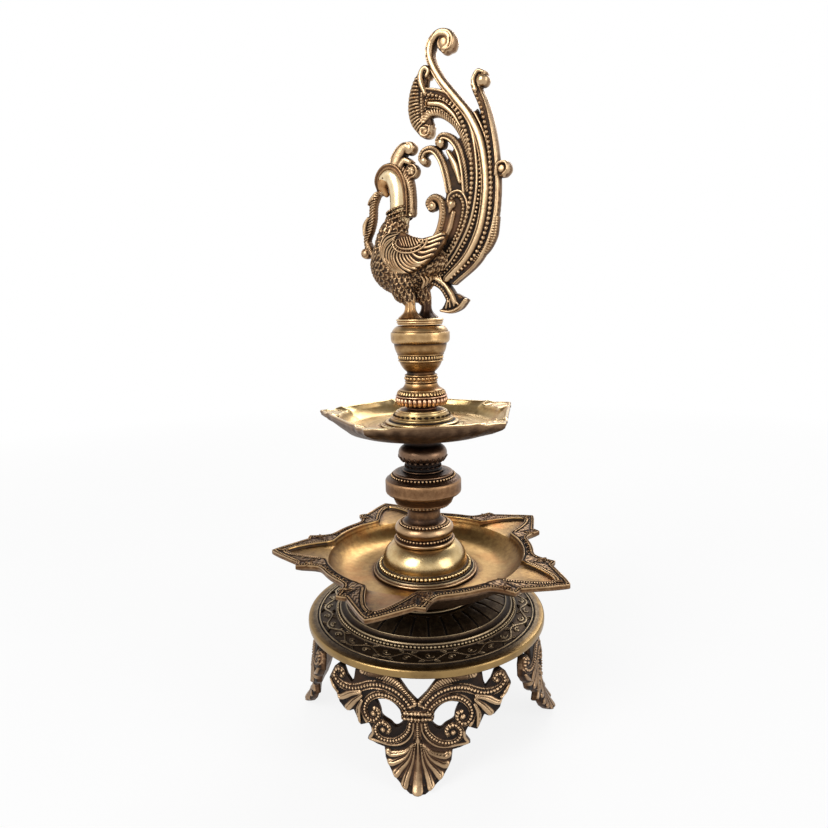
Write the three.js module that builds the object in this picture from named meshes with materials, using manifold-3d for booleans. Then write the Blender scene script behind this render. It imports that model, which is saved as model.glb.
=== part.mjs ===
// Two-tier oil lamp of cast brass, about half a metre tall. Four pierced scroll legs carry a round
// stand. Above it sit a basin with five spouts, a turned stem, a five-cornered tray, a second stem
// with an urn, and a peacock. The sections screw together on studs, so that they come apart.
// Millimetres, +Z up, -Y towards the front leg. Sizes are drawn about the stem's axis. The origin is
// on the floor under the middle of the lamp's box.
import * as THREE from "three";
import { mergeVertices } from "three/addons/utils/BufferGeometryUtils.js";
import Module from "manifold-3d";

const wasm = await Module();
wasm.setup();

// The stem's axis from the middle of the box. Five spouts don't reach evenly on all four sides
const AXIS_RIGHT = 8.6;
const AXIS_BACK = 2.9;

// Clearances
const SEAT = 0.3; // between two faces that rest on each other
const BORE_PLAY = 0.4; // radial, between a stud and the bore that it passes through
const PRESS_PLAY = 0.3; // radial, between a bush and the bore that it sits in

// Sides of the round pieces
const SIDES_WIDE = 36;
const SIDES_STEM = 24;
const SIDES_SMALL = 12;

// Stand: a round cast disc with a low dome
const DISC_UNDERSIDE = 76.8; // height of the underside over the floor
const RIM_RADIUS = 91.4;
const RIM_HEIGHT = 6.0;
const RIM_BAND = 7.4; // width of the plain band inside the rim
const BORDER_WIDTH = 14.0; // width of the engraved border inside that band
const STEP_WIDTH = 4.0; // each of the two steps up to the dome
const STEP_RISE = 2.4;
const DOME_RISE = 4.6;
const PEDESTAL_SEAT_RADIUS = 42.0;
const DISC_WALL = 4.4; // thickness of the dome over the hollow underside
const NUT_BOSS_RADIUS = 14.0;
const NUT_BOSS_DROP = 2.4;

// Pedestal ring between the dome and the basin
const PEDESTAL_HEIGHT = 12.5;
const PEDESTAL_RADIUS = 39.0;
const PEDESTAL_WAIST = 31.0;

// Basin with five spouts
const SPOUTS = 5;
const SPOUT_TURN = 40.5; // degrees from +X to the first spout
const BASIN_RIM_HEIGHT = 23.0; // from the underside to the rim
const BASIN_FLOOR = 5.4; // thickness of the floor
const BASIN_RADIUS = 76.0; // inside, at the rim
const BASIN_EDGE_RADIUS = 83.0; // outside, at the rim
const BASIN_FLAT_RADIUS = 56.0; // flat part of the underside
const SPOUT_LENGTH = 36.0; // from the rim's outside to a spout's tip
const CHANNEL_LENGTH = 32.0; // from the basin's inside to the end of a spout's channel
const CHANNEL_DEPTH = 2.3;
const EDGE_THICKNESS = 3.2; // of the rim and the spouts at their edge

// Bell on the basin's floor
const BELL_FLANGE_RADIUS = 40.1;
const BELL_FLANGE_HEIGHT = 1.9;
const BELL_RADIUS = 32.0;
const BELL_HEIGHT = 23.4;
const BELL_TOP_RADIUS = 21.6;

// Spool: ring, beaded groove, disc and plain neck
const SPOOL_RING_RADIUS = 23.4;
const SPOOL_GROOVE_RADIUS = 20.6;
const SPOOL_DISC_RADIUS = 22.8;
const SPOOL_DISC_HEIGHT = 7.6;
const SPOOL_NECK_RADIUS = 12.6;
const SPOOL_HEIGHT = 27.6;

// Knop: the widest turned section of the stem
const KNOP_FOOT_RADIUS = 17.4;
const KNOP_RADIUS = 28.8;
const KNOP_BAND = 9.2; // height of the straight band
const KNOP_TOP_RADIUS = 22.0;
const KNOP_HEIGHT = 27.2;

// Ball and the neck under it
const BALL_NECK_RADIUS = 13.0;
const BALL_RADIUS = 18.6;
const BALL_CENTRE = 12.8; // over the foot of the piece
const BALL_SEAT_RADIUS = 15.6;
const BALL_HEIGHT = 30.4;

// Five-cornered tray
const CORNERS = 5;
const CORNER_TURN = 30.5; // degrees from +X to the first corner
const TRAY_CORNER_RADIUS = 79.7;
const TRAY_SIDE_RADIUS = 64.5; // to the middle of a side
const TRAY_FLAT_RADIUS = 50.0;
const TRAY_DEPTH = 14.5; // from the underside to the rim
const TRAY_FLOOR = 4.2;
const TRAY_LIP = 2.4;

// Collar that clamps the tray
const COLLAR_PLATE_RADIUS = 31.0;
const COLLAR_RING_RADIUS = 27.4;
const COLLAR_BAND_RADIUS = 22.4;
const COLLAR_TOP_RADIUS = 17.8;
const COLLAR_HEIGHT = 11.8;

// Bulb
const BULB_RADIUS = 19.3;
const BULB_FOOT_RADIUS = 11.4;
const BULB_TOP_RADIUS = 11.8;
const BULB_HEIGHT = 19.2;

// Urn
const URN_FOOT_RADIUS = 12.5;
const URN_NECK_RADIUS = 10.3;
const URN_BAND_RADIUS = 16.8;
const URN_RIM_RADIUS = 21.7;
const URN_TOP_RADIUS = 17.0;
const URN_HEIGHT = 41.6;

// Peacock. Its own drawing runs back along +X and up along +Z, from the top of the urn.
const BIRD_TURN = -25.45; // degrees from +X to the way that the tail points
const PLINTH_RADIUS = 17.6;
const PLINTH_HEIGHT = 5.0;
const TAIL_THICKNESS = 8.0;
const WEB_THICKNESS = 4.6;
const BODY_LENGTH = 50.0;
const BODY_WIDTH = 35.0;
const BODY_DEPTH = 42.0;
const NECK_RADIUS = 7.2;
const SHIN_RADIUS = 4.2;
const STANCE = 18.0; // between the two feet

// Legs
const LEGS = 4;
const LEG_THICKNESS = 6.0;
const LEG_BOW = 130.0; // radius of the leg's bow, seen from above
const LEG_FACET = 27.0; // longest edge of a facet of the bowed panel
const LUG_THICKNESS = 4.0;
const LUG_SIDE = 28.0; // sideways from a leg's middle to its screw
const LUG_WIDTH = 12.0;
const LUG_INSET = 22.9; // from the rim inwards to the screw

// Studs, bushes and fasteners
const BASE_STUD_RADIUS = 6.0;
const BASE_THREAD = 12.25; // engaged length: seven turns of 1.75 mm
const STEM_ROD_RADIUS = 5.0;
const STEM_THREAD = 9.0; // six turns of 1.5 mm
const TOP_STUD_RADIUS = 4.0;
const FINIAL_THREAD = 10.0; // eight turns of 1.25 mm
const BUSH_WALL = 3.6;
const NUT_WIDTH = 19.0; // across flats
const NUT_HEIGHT = 10.0;
const WASHER_RADIUS = 11.5;
const WASHER_THICKNESS = 2.0;
const SCREW_RADIUS = 2.3;
const SCREW_HEAD_RADIUS = 4.4;
const SCREW_HEAD_HEIGHT = 2.8;
const SCREW_GRIP = 4.4; // length of the screw in the disc

// Heights of the stacked sections
const RIM_TOP = DISC_UNDERSIDE + RIM_HEIGHT;
const DOME_TOP = RIM_TOP + 2 * STEP_RISE + DOME_RISE + 2.7;
const PEDESTAL_BASE = DOME_TOP + SEAT;
const BASIN_BASE = PEDESTAL_BASE + PEDESTAL_HEIGHT + SEAT;
const BELL_BASE = BASIN_BASE + BASIN_FLOOR + SEAT;
const SPOOL_BASE = BELL_BASE + BELL_HEIGHT + SEAT;
const KNOP_BASE = SPOOL_BASE + SPOOL_HEIGHT + SEAT;
const BALL_BASE = KNOP_BASE + KNOP_HEIGHT + SEAT;
const TRAY_BASE = BALL_BASE + BALL_HEIGHT + SEAT;
const COLLAR_BASE = TRAY_BASE + TRAY_FLOOR + SEAT;
const BULB_BASE = COLLAR_BASE + COLLAR_HEIGHT + SEAT;
const URN_BASE = BULB_BASE + BULB_HEIGHT + SEAT;
const FINIAL_BASE = URN_BASE + URN_HEIGHT + SEAT;

const brass = { color: 0xb08a4e, roughness: 0.38, metalness: 1.0 };
const darkBrass = { color: 0x5e4527, roughness: 0.5, metalness: 1.0 };
const paleBrass = { color: 0xcfa865, roughness: 0.3, metalness: 1.0 };
const steel = { color: 0x8c8a86, roughness: 0.45, metalness: 1.0 };

const lamp = new THREE.Group();
lamp.name = "peacock_oil_lamp";
lamp.position.set(AXIS_RIGHT, AXIS_BACK, 0);

function place(name, geometry, look, turn = 0) {
  const mesh = new THREE.Mesh(geometry, new THREE.MeshStandardMaterial(look));
  mesh.name = name;
  mesh.rotation.z = THREE.MathUtils.degToRad(turn);
  lamp.add(mesh);
}

// Closed geometry with shared corners and its faces pointing out
function closed(geometry) {
  geometry.deleteAttribute("normal");
  geometry.deleteAttribute("uv");
  const merged = mergeVertices(geometry, 1e-3);
  const position = merged.getAttribute("position");
  const index = [];
  const a = new THREE.Vector3();
  const b = new THREE.Vector3();
  const c = new THREE.Vector3();
  let volume = 0;
  for (let i = 0; i < merged.index.count; i += 3) {
    const [p, q, r] = [0, 1, 2].map((k) => merged.index.getX(i + k));
    if (p === q || q === r || r === p) continue;
    index.push(p, q, r);
    a.fromBufferAttribute(position, p);
    b.fromBufferAttribute(position, q);
    c.fromBufferAttribute(position, r);
    volume += a.dot(b.clone().cross(c));
  }
  if (volume < 0) index.reverse();
  merged.setIndex(index);
  return merged;
}

function toSolid(geometry) {
  const clean = closed(geometry);
  const vertProperties = new Float32Array(clean.getAttribute("position").array);
  const triVerts = new Uint32Array(clean.index.array);
  return new wasm.Manifold(new wasm.Mesh({ numProp: 3, vertProperties, triVerts }));
}

function toGeometry(solid) {
  const { vertProperties, triVerts } = solid.getMesh();
  const geometry = new THREE.BufferGeometry();
  geometry.setAttribute("position", new THREE.BufferAttribute(vertProperties, 3));
  geometry.setIndex(new THREE.BufferAttribute(triVerts, 1));
  return geometry;
}

// Splits every edge that is longer than a length, until none is left
function refined(geometry, longest) {
  const points = [];
  const source = geometry.getAttribute("position");
  for (let i = 0; i < source.count; i += 1) points.push(new THREE.Vector3().fromBufferAttribute(source, i));
  let faces = [];
  for (let i = 0; i < geometry.index.count; i += 3) {
    faces.push([0, 1, 2].map((k) => geometry.index.getX(i + k)));
  }
  let split = true;
  while (split) {
    split = false;
    const middles = new Map();
    const middle = (a, b) => {
      if (points[a].distanceTo(points[b]) <= longest) return -1;
      const key = a < b ? `${a},${b}` : `${b},${a}`;
      if (!middles.has(key)) {
        points.push(points[a].clone().add(points[b]).multiplyScalar(0.5));
        middles.set(key, points.length - 1);
      }
      return middles.get(key);
    };
    const next = [];
    for (const [a, b, c] of faces) {
      const outline = [a, middle(a, b), b, middle(b, c), c, middle(c, a)].filter((i) => i >= 0);
      if (outline.length > 3) split = true;
      next.push(...fanned(outline, points));
    }
    faces = next;
  }
  const result = new THREE.BufferGeometry().setFromPoints(points);
  return result.setIndex(faces.flat());
}

// Triangles of a small outline with points along its edges, without flat ones
function fanned(outline, points) {
  const n = outline.length;
  const area = (a, b, c) => {
    const side = points[b].clone().sub(points[a]);
    return side.cross(points[c].clone().sub(points[a])).length();
  };
  if (n === 6) {
    const [a, ab, b, bc, c, ca] = outline;
    return [[a, ab, ca], [ab, b, bc], [bc, c, ca], [ab, bc, ca]];
  }
  for (let first = 0; first < n; first += 1) {
    const turn = [...outline.slice(first), ...outline.slice(0, first)];
    const triangles = [];
    for (let k = 1; k + 1 < n; k += 1) triangles.push([turn[0], turn[k], turn[k + 1]]);
    if (triangles.every(([a, b, c]) => area(a, b, c) > 1e-6)) return triangles;
  }
  return [];
}

const joined = (solids) => solids.reduce((whole, next) => whole.add(next));

// Turned piece: its section, as [radius, height] points, closes on itself
function turned(section, sides = SIDES_STEM) {
  const points = section.map(([r, z]) => new THREE.Vector2(r, z));
  points.push(points[0].clone());
  return closed(new THREE.LatheGeometry(points, sides).rotateX(Math.PI / 2));
}

// Ring-shaped section of a turned stem piece: its outside is a list of [radius, height over base]
function stemPiece(base, bore, outside, sides = SIDES_STEM) {
  const outer = outside.map(([r, z]) => [r, base + z]);
  const low = outer[0][1];
  const high = outer[outer.length - 1][1];
  return turned([[bore, low], ...outer, [bore, high]], sides);
}

function rod(radius, low, high, sides = SIDES_SMALL) {
  const geometry = new THREE.CylinderGeometry(radius, radius, high - low, sides);
  return closed(geometry.rotateX(Math.PI / 2).translate(0, 0, (low + high) / 2));
}

function bush(inner, outer, low, high) {
  return turned([[inner, low], [outer, low], [outer, high], [inner, high]], SIDES_SMALL);
}

// Value at x of a line through [x, value] points
function along(points, x) {
  let i = 1;
  while (i < points.length - 1 && points[i][0] < x) i += 1;
  const [x0, v0] = points[i - 1];
  const [x1, v1] = points[i];
  return THREE.MathUtils.lerp(v0, v1, THREE.MathUtils.clamp((x - x0) / (x1 - x0), 0, 1));
}

// Cast dish with a bore: each ring gives [radius, height] for an angle off the nearest corner
function dish(corners, turn, offsets, rings) {
  const half = 180 / corners;
  const sector = [...offsets.slice(1, -1).map((a) => -a).reverse(), ...offsets];
  const angles = [];
  for (let k = 0; k < corners; k += 1) {
    for (const offset of sector) angles.push([turn + 2 * half * k + offset, Math.abs(offset)]);
  }
  const position = [];
  for (const ring of rings) {
    for (const [angle, offset] of angles) {
      const [r, z] = ring(offset);
      const a = THREE.MathUtils.degToRad(angle);
      position.push(r * Math.cos(a), r * Math.sin(a), z);
    }
  }
  const index = [];
  const n = angles.length;
  rings.forEach((_, i) => {
    const next = (i + 1) % rings.length;
    for (let j = 0; j < n; j += 1) {
      const k = (j + 1) % n;
      index.push(i * n + j, i * n + k, next * n + k);
      index.push(i * n + j, next * n + k, next * n + j);
    }
  });
  const geometry = new THREE.BufferGeometry();
  geometry.setAttribute("position", new THREE.Float32BufferAttribute(position, 3));
  geometry.setIndex(index);
  return closed(geometry);
}

// Distance of the leg's outer face from the rim, at each height as a share of the leg's height
const LEG_SWEEP = [[0, 9.6], [0.07, 5.6], [0.16, 1.6], [0.33, -2.4], [0.52, -1.4], [0.78, -3.4], [1, -7.4]];

// Right half of the leg's outline, [sideways, height], from the notch round to the foot
const LEG_DRAWN_HEIGHT = 76.5;
const LEG_HALF = [
  [0, 57.7], [6, 63.5], [12, 71], [17, 76.5], [38, 76.5], [43, 73], [44.8, 64.4], [49.4, 73.4],
  [54.1, 72.6], [60, 66.5], [62, 61], [57, 54.2], [54.5, 49], [48, 44.1], [44, 46.5], [39.2, 36.2],
  [33.3, 39.5], [31, 32], [34.4, 25.7], [22.7, 23.4], [21.9, 17.3], [18.2, 11], [16, 7.1],
  [8.9, 2.4], [5, 0],
];
const LEG_HOLE = [
  [29, 56.6], [21, 57.8], [14.8, 55.1], [9.9, 48.5], [9.7, 43.1], [14.3, 39.4], [18.2, 42.1],
  [23.6, 45.3], [24.7, 49.8], [26.6, 54.2],
];

// Scroll leg at the front, with two lugs that its screws pass through
function legSolid() {
  const height = DISC_UNDERSIDE - SEAT;
  const stretch = height / LEG_DRAWN_HEIGHT;
  const drawn = (side) => ([x, z]) => new THREE.Vector2(side * x, z * stretch);
  const right = LEG_HALF.map(drawn(1));
  const left = LEG_HALF.slice(1).map(drawn(-1)).reverse();
  const shape = new THREE.Shape([...right, ...left].reverse());
  for (const side of [1, -1]) shape.holes.push(new THREE.Path(LEG_HOLE.map(drawn(side))));
  let panel = new THREE.ExtrudeGeometry(shape, { depth: LEG_THICKNESS, bevelEnabled: false });
  panel = refined(closed(panel), LEG_FACET);
  const position = panel.getAttribute("position");
  for (let i = 0; i < position.count; i += 1) {
    const [x, z, depth] = [position.getX(i), position.getY(i), position.getZ(i)];
    const out = RIM_RADIUS + along(LEG_SWEEP, z / height) - (x * x) / (2 * LEG_BOW);
    position.setXYZ(i, x, depth - out, z);
  }
  let leg = toSolid(panel);
  const reach = RIM_RADIUS - LUG_INSET;
  for (const side of [1, -1]) {
    const inner = reach - LUG_WIDTH / 2;
    const outer = RIM_RADIUS + LEG_SWEEP[LEG_SWEEP.length - 1][1] - LUG_SIDE ** 2 / (2 * LEG_BOW);
    const lug = new THREE.BoxGeometry(LUG_WIDTH, outer - inner - LEG_THICKNESS / 2, LUG_THICKNESS);
    lug.translate(side * LUG_SIDE, -(outer + inner - LEG_THICKNESS / 2) / 2, height - LUG_THICKNESS / 2);
    const hole = rod(SCREW_RADIUS + PRESS_PLAY, height - 2 * LUG_THICKNESS, height + 1, 10);
    hole.translate(side * LUG_SIDE, -reach, 0);
    leg = leg.add(toSolid(lug)).subtract(toSolid(hole));
  }
  return leg;
}

function screwGeometry(side) {
  const seat = DISC_UNDERSIDE - SEAT - LUG_THICKNESS - SEAT;
  const tip = DISC_UNDERSIDE + SCREW_GRIP;
  const r = SCREW_HEAD_RADIUS;
  const section = [
    [0, tip], [SCREW_RADIUS, tip], [SCREW_RADIUS, seat], [r, seat], [r * 0.8, seat - SCREW_HEAD_HEIGHT],
    [0, seat - SCREW_HEAD_HEIGHT],
  ];
  const points = section.map(([x, z]) => new THREE.Vector2(x, z));
  const screw = new THREE.LatheGeometry(points, 8).rotateX(Math.PI / 2);
  return closed(screw.translate(side * LUG_SIDE, LUG_INSET - RIM_RADIUS, 0));
}

function addLegs() {
  const names = ["front", "right", "back", "left"];
  for (let k = 0; k < LEGS; k += 1) {
    const turn = (360 / LEGS) * k;
    place(`leg_${names[k]}`, toGeometry(legSolid()), brass, turn);
    place(`leg_${names[k]}_screw_a`, screwGeometry(1), steel, turn);
    place(`leg_${names[k]}_screw_b`, screwGeometry(-1), steel, turn);
  }
}

// Round stand with its steps and dome, hollow underneath, bored for the stud and the leg screws
function addDisc() {
  const border = RIM_RADIUS - RIM_BAND;
  const step = border - BORDER_WIDTH;
  const dome = step - 2 * STEP_WIDTH;
  const bore = BASE_STUD_RADIUS + BORE_PLAY;
  const hollow = DOME_TOP - DISC_WALL;
  const shoulder = RIM_TOP + 2 * STEP_RISE + 2.7;
  const section = [
    [bore, hollow - NUT_BOSS_DROP], [NUT_BOSS_RADIUS, hollow - NUT_BOSS_DROP],
    [NUT_BOSS_RADIUS + 2, hollow], [PEDESTAL_SEAT_RADIUS, hollow], [dome, shoulder - DISC_WALL],
    [step - 2.4, DISC_UNDERSIDE], [RIM_RADIUS - 1, DISC_UNDERSIDE], [RIM_RADIUS, DISC_UNDERSIDE + 1],
    [RIM_RADIUS, RIM_TOP - 0.8], [RIM_RADIUS - 0.8, RIM_TOP], [border + 0.6, RIM_TOP],
    [border, RIM_TOP - 0.5], [border - 0.9, RIM_TOP + 0.6], [step, RIM_TOP + 2.7],
    [step - 0.6, RIM_TOP + 2.7 + STEP_RISE], [step - STEP_WIDTH, RIM_TOP + 2.7 + STEP_RISE],
    [step - STEP_WIDTH - 0.6, shoulder], [dome, shoulder + 0.4],
    [(dome + PEDESTAL_SEAT_RADIUS) / 2, (shoulder + DOME_TOP) / 2 + 0.8],
    [PEDESTAL_SEAT_RADIUS, DOME_TOP], [bore, DOME_TOP],
  ];
  let disc = toSolid(turned(section, SIDES_WIDE));
  for (let k = 0; k < LEGS; k += 1) {
    for (const side of [1, -1]) {
      const depth = SCREW_GRIP + SEAT;
      const hole = rod(SCREW_RADIUS + PRESS_PLAY, DISC_UNDERSIDE - 1, DISC_UNDERSIDE + depth, 8);
      hole.translate(side * LUG_SIDE, LUG_INSET - RIM_RADIUS, 0);
      disc = disc.subtract(toSolid(hole.rotateZ((2 * Math.PI * k) / LEGS)));
    }
  }
  place("stand_disc", toGeometry(disc), darkBrass);
}

function addPedestal() {
  const h = PEDESTAL_HEIGHT;
  const outside = [
    [PEDESTAL_RADIUS, 0], [PEDESTAL_RADIUS, 2], [PEDESTAL_RADIUS - 3, 3.4], [PEDESTAL_WAIST, h * 0.55],
    [PEDESTAL_WAIST + 3, h - 2], [PEDESTAL_WAIST + 4.5, h],
  ];
  place("pedestal_ring", stemPiece(PEDESTAL_BASE, BASE_STUD_RADIUS + BORE_PLAY, outside, 30), darkBrass);
}

// Stud through the stand, pedestal and basin into the bell, with its washer and nut underneath
function addBaseStud() {
  const boss = DOME_TOP - DISC_WALL - NUT_BOSS_DROP;
  const washerTop = boss - SEAT;
  const nutTop = washerTop - WASHER_THICKNESS - SEAT;
  const bore = BASE_STUD_RADIUS + BORE_PLAY;
  place("base_stud", rod(BASE_STUD_RADIUS, nutTop - NUT_HEIGHT - 3, BELL_BASE + BASE_THREAD + 2), steel);
  place("base_washer", bush(bore, WASHER_RADIUS, washerTop - WASHER_THICKNESS, washerTop), steel);
  const hexagon = new THREE.Shape();
  const corner = NUT_WIDTH / Math.sqrt(3);
  for (let k = 0; k < 6; k += 1) {
    const a = (Math.PI / 3) * k;
    if (k === 0) hexagon.moveTo(corner, 0);
    else hexagon.lineTo(corner * Math.cos(a), corner * Math.sin(a));
  }
  hexagon.holes.push(new THREE.Path().absarc(0, 0, BASE_STUD_RADIUS + PRESS_PLAY, 0, 2 * Math.PI));
  const size = { depth: NUT_HEIGHT, bevelEnabled: false, curveSegments: 7 };
  const nut = new THREE.ExtrudeGeometry(hexagon, size);
  place("base_nut", closed(nut.translate(0, 0, nutTop - NUT_HEIGHT)), steel);
}

// Outside of a spout and end of its channel, as shares of their lengths at degrees off its middle
const SPOUT_EDGE = [
  [0, 1], [3.5, 0.84], [7.3, 0.66], [11.4, 0.5], [14, 0.41], [18, 0.455], [21, 0.14], [24, 0],
];
const CHANNEL_EDGE = [[0, 1], [3.5, 0.84], [7.3, 0.5], [11.4, 0.125], [14, 0]];

function addBasin() {
  const floor = BASIN_BASE + BASIN_FLOOR;
  const rim = BASIN_BASE + BASIN_RIM_HEIGHT;
  const bore = BASE_STUD_RADIUS + BORE_PLAY;
  const depth = rim - floor;
  const edge = (a) => BASIN_EDGE_RADIUS + SPOUT_LENGTH * along(SPOUT_EDGE, a);
  const lip = (a) => BASIN_RADIUS + CHANNEL_LENGTH * along(CHANNEL_EDGE, a);
  const thick = (a) => (a < 20 ? 8 : 4.6);
  const rings = [
    () => [bore, BASIN_BASE],
    () => [BASIN_FLAT_RADIUS, BASIN_BASE],
    () => [BASIN_FLAT_RADIUS + 10, BASIN_BASE + 4.4],
    () => [BASIN_RADIUS - 1.4, BASIN_BASE + 11.6],
    (a) => [BASIN_EDGE_RADIUS - 2, rim - thick(a)],
    (a) => [edge(a), rim - EDGE_THICKNESS],
    (a) => [edge(a), rim],
    (a) => [lip(a), rim],
    (a) => [lip(a) - 1.4, rim - CHANNEL_DEPTH],
    () => [BASIN_RADIUS - 1.8, rim - 4.6],
    () => [BASIN_RADIUS - 6.5, floor + depth * 0.38],
    () => [BASIN_FLAT_RADIUS + 3, floor + depth * 0.06],
    () => [BASIN_FLAT_RADIUS - 10, floor],
    () => [bore, floor],
  ];
  const offsets = [0, 3.5, 7.3, 11.4, 14, 18, 21, 24, 30, 36];
  place("spouted_basin", dish(SPOUTS, SPOUT_TURN, offsets, rings), paleBrass);
}

// Bell, with a threaded bush in its foot that screws down over the base stud
function addBell() {
  const bushTop = BELL_BASE + BASE_THREAD + 4.5;
  const bushOut = BASE_STUD_RADIUS + BUSH_WALL;
  const rodBore = STEM_ROD_RADIUS + PRESS_PLAY;
  const r = BELL_RADIUS;
  const h = BELL_HEIGHT;
  const bore = bushOut + PRESS_PLAY;
  const section = [
    [bore, 0], [BELL_FLANGE_RADIUS, 0], [BELL_FLANGE_RADIUS, BELL_FLANGE_HEIGHT], [r + 5, h * 0.13],
    [r + 3.4, h * 0.24], [r, h * 0.3], [r - 0.7, h * 0.47], [r - 2.4, h * 0.66], [r - 5.4, h * 0.87],
    [BELL_TOP_RADIUS, h],
  ].map(([x, z]) => [x, BELL_BASE + z]);
  const top = BELL_BASE + h;
  section.push([rodBore, top], [rodBore, bushTop + SEAT], [bore, bushTop + SEAT]);
  place("bell", turned(section, 30), paleBrass);
  place("bell_bush", bush(BASE_STUD_RADIUS + PRESS_PLAY, bushOut, BELL_BASE + SEAT, bushTop), steel);
  place("stem_rod", rod(STEM_ROD_RADIUS, bushTop + 2 * SEAT, BULB_BASE + SEAT + STEM_THREAD), steel);
}

function addSpool() {
  const h = SPOOL_HEIGHT;
  const disc = 6.2;
  const d = SPOOL_DISC_HEIGHT;
  const outside = [
    [SPOOL_RING_RADIUS - 1, 0], [SPOOL_RING_RADIUS, 0.6], [SPOOL_RING_RADIUS, 2], [SPOOL_GROOVE_RADIUS, 2.9],
    [SPOOL_GROOVE_RADIUS, disc - 0.7], [SPOOL_DISC_RADIUS - 1.6, disc], [SPOOL_DISC_RADIUS, disc + d * 0.3],
    [SPOOL_DISC_RADIUS, disc + d * 0.7], [SPOOL_DISC_RADIUS - 1.8, disc + d], [17.9, disc + d + 0.3],
    [17.6, disc + d + 2.2], [SPOOL_NECK_RADIUS + 1, disc + d + 3.4], [SPOOL_NECK_RADIUS, disc + d + 5],
    [SPOOL_NECK_RADIUS, h - 1.6], [SPOOL_NECK_RADIUS + 2.4, h],
  ];
  place("neck_spool", stemPiece(SPOOL_BASE, STEM_ROD_RADIUS + BORE_PLAY, outside), brass);
}

function addKnop() {
  const h = KNOP_HEIGHT;
  const band = 11.6;
  const above = band + KNOP_BAND;
  const outside = [
    [KNOP_FOOT_RADIUS, 0], [KNOP_FOOT_RADIUS + 2, 1.8], [KNOP_RADIUS - 6.4, 3.4],
    [KNOP_RADIUS - 3.4, 6.4], [KNOP_RADIUS - 0.8, band - 1.4], [KNOP_RADIUS, band],
    [KNOP_RADIUS, above], [KNOP_RADIUS - 1.6, above + 1.4],
    [KNOP_TOP_RADIUS + 2.6, above + 3.2], [KNOP_TOP_RADIUS + 0.4, above + 4.6], [KNOP_TOP_RADIUS, h - 0.8],
    [KNOP_TOP_RADIUS - 0.8, h],
  ];
  place("knop", stemPiece(KNOP_BASE, STEM_ROD_RADIUS + BORE_PLAY, outside, 28), brass);
}

function addBall() {
  const outside = [[BALL_NECK_RADIUS + 3.4, 0], [BALL_NECK_RADIUS, 2.4]];
  for (let k = 0; k <= 8; k += 1) {
    const a = THREE.MathUtils.degToRad(THREE.MathUtils.lerp(-38, 44, k / 8));
    outside.push([BALL_RADIUS - 9.6 * (1 - Math.cos(a)) * 2.4, BALL_CENTRE + 9.6 * Math.sin(a)]);
  }
  outside.push([BALL_SEAT_RADIUS - 3, BALL_CENTRE + 9.2], [BALL_SEAT_RADIUS - 3, BALL_HEIGHT - 4]);
  outside.push([BALL_SEAT_RADIUS, BALL_HEIGHT]);
  place("ball", stemPiece(BALL_BASE, STEM_ROD_RADIUS + BORE_PLAY, outside), brass);
}

// Edge of the tray as shares of the way from a side's middle out to a corner
const TRAY_EDGE = [[0, 1], [3, 0.79], [8, 0.625], [14, 0.31], [20, 0.19], [28, 0.046], [36, 0]];

function addTray() {
  const floor = TRAY_BASE + TRAY_FLOOR;
  const rim = TRAY_BASE + TRAY_DEPTH;
  const bore = STEM_ROD_RADIUS + BORE_PLAY;
  const edge = (a) => THREE.MathUtils.lerp(TRAY_SIDE_RADIUS, TRAY_CORNER_RADIUS, along(TRAY_EDGE, a));
  const wall = TRAY_FLAT_RADIUS + 6;
  const rings = [
    () => [bore, TRAY_BASE],
    () => [TRAY_FLAT_RADIUS, TRAY_BASE],
    () => [wall, TRAY_BASE + 2],
    (a) => [(wall + edge(a)) / 2, rim - 7],
    (a) => [edge(a), rim - TRAY_LIP],
    (a) => [edge(a), rim],
    (a) => [edge(a) - TRAY_LIP, rim],
    () => [TRAY_SIDE_RADIUS - TRAY_LIP - 1.8, rim - 3.5],
    () => [wall - 1, floor + 1.8],
    () => [TRAY_FLAT_RADIUS - 1, floor],
    () => [bore, floor],
  ];
  place("cornered_tray", dish(CORNERS, CORNER_TURN, [0, 3, 8, 14, 20, 28, 36], rings), paleBrass);
}

function addCollar() {
  const outside = [
    [COLLAR_PLATE_RADIUS, 0], [COLLAR_PLATE_RADIUS, 1], [COLLAR_RING_RADIUS, 1.6], [COLLAR_RING_RADIUS, 3.2],
    [COLLAR_BAND_RADIUS + 1, 3.8], [COLLAR_BAND_RADIUS, 5.6], [COLLAR_TOP_RADIUS + 0.6, COLLAR_HEIGHT - 1.4],
    [COLLAR_TOP_RADIUS, COLLAR_HEIGHT],
  ];
  place("tray_collar", stemPiece(COLLAR_BASE, STEM_ROD_RADIUS + BORE_PLAY, outside), brass);
}

// Bulb with a threaded bush that screws down over the end of the stem rod, and a stud up to the urn
function addBulb() {
  const bushTop = BULB_BASE + STEM_THREAD + 2;
  const bushOut = STEM_ROD_RADIUS + BUSH_WALL * 0.85;
  const bore = bushOut + PRESS_PLAY;
  const studBore = TOP_STUD_RADIUS + PRESS_PLAY;
  const h = BULB_HEIGHT;
  const r = BULB_RADIUS;
  const section = [
    [bore, 0], [BULB_FOOT_RADIUS, 0], [BULB_FOOT_RADIUS - 0.6, h * 0.08], [r - 5, h * 0.14],
    [r - 1.4, h * 0.24], [r, h * 0.36], [r, h * 0.48], [r - 0.8, h * 0.61], [r - 3.1, h * 0.76],
    [r - 5.2, h * 0.88], [BULB_TOP_RADIUS, h],
  ].map(([x, z]) => [x, BULB_BASE + z]);
  section.push([studBore, BULB_BASE + h], [studBore, bushTop + SEAT], [bore, bushTop + SEAT]);
  place("bulb", turned(section), brass);
  place("bulb_bush", bush(STEM_ROD_RADIUS + PRESS_PLAY, bushOut, BULB_BASE + SEAT, bushTop), steel);
  place("urn_stud", rod(TOP_STUD_RADIUS, bushTop + SEAT, URN_BASE + URN_HEIGHT * 0.3), steel);
}

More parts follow.
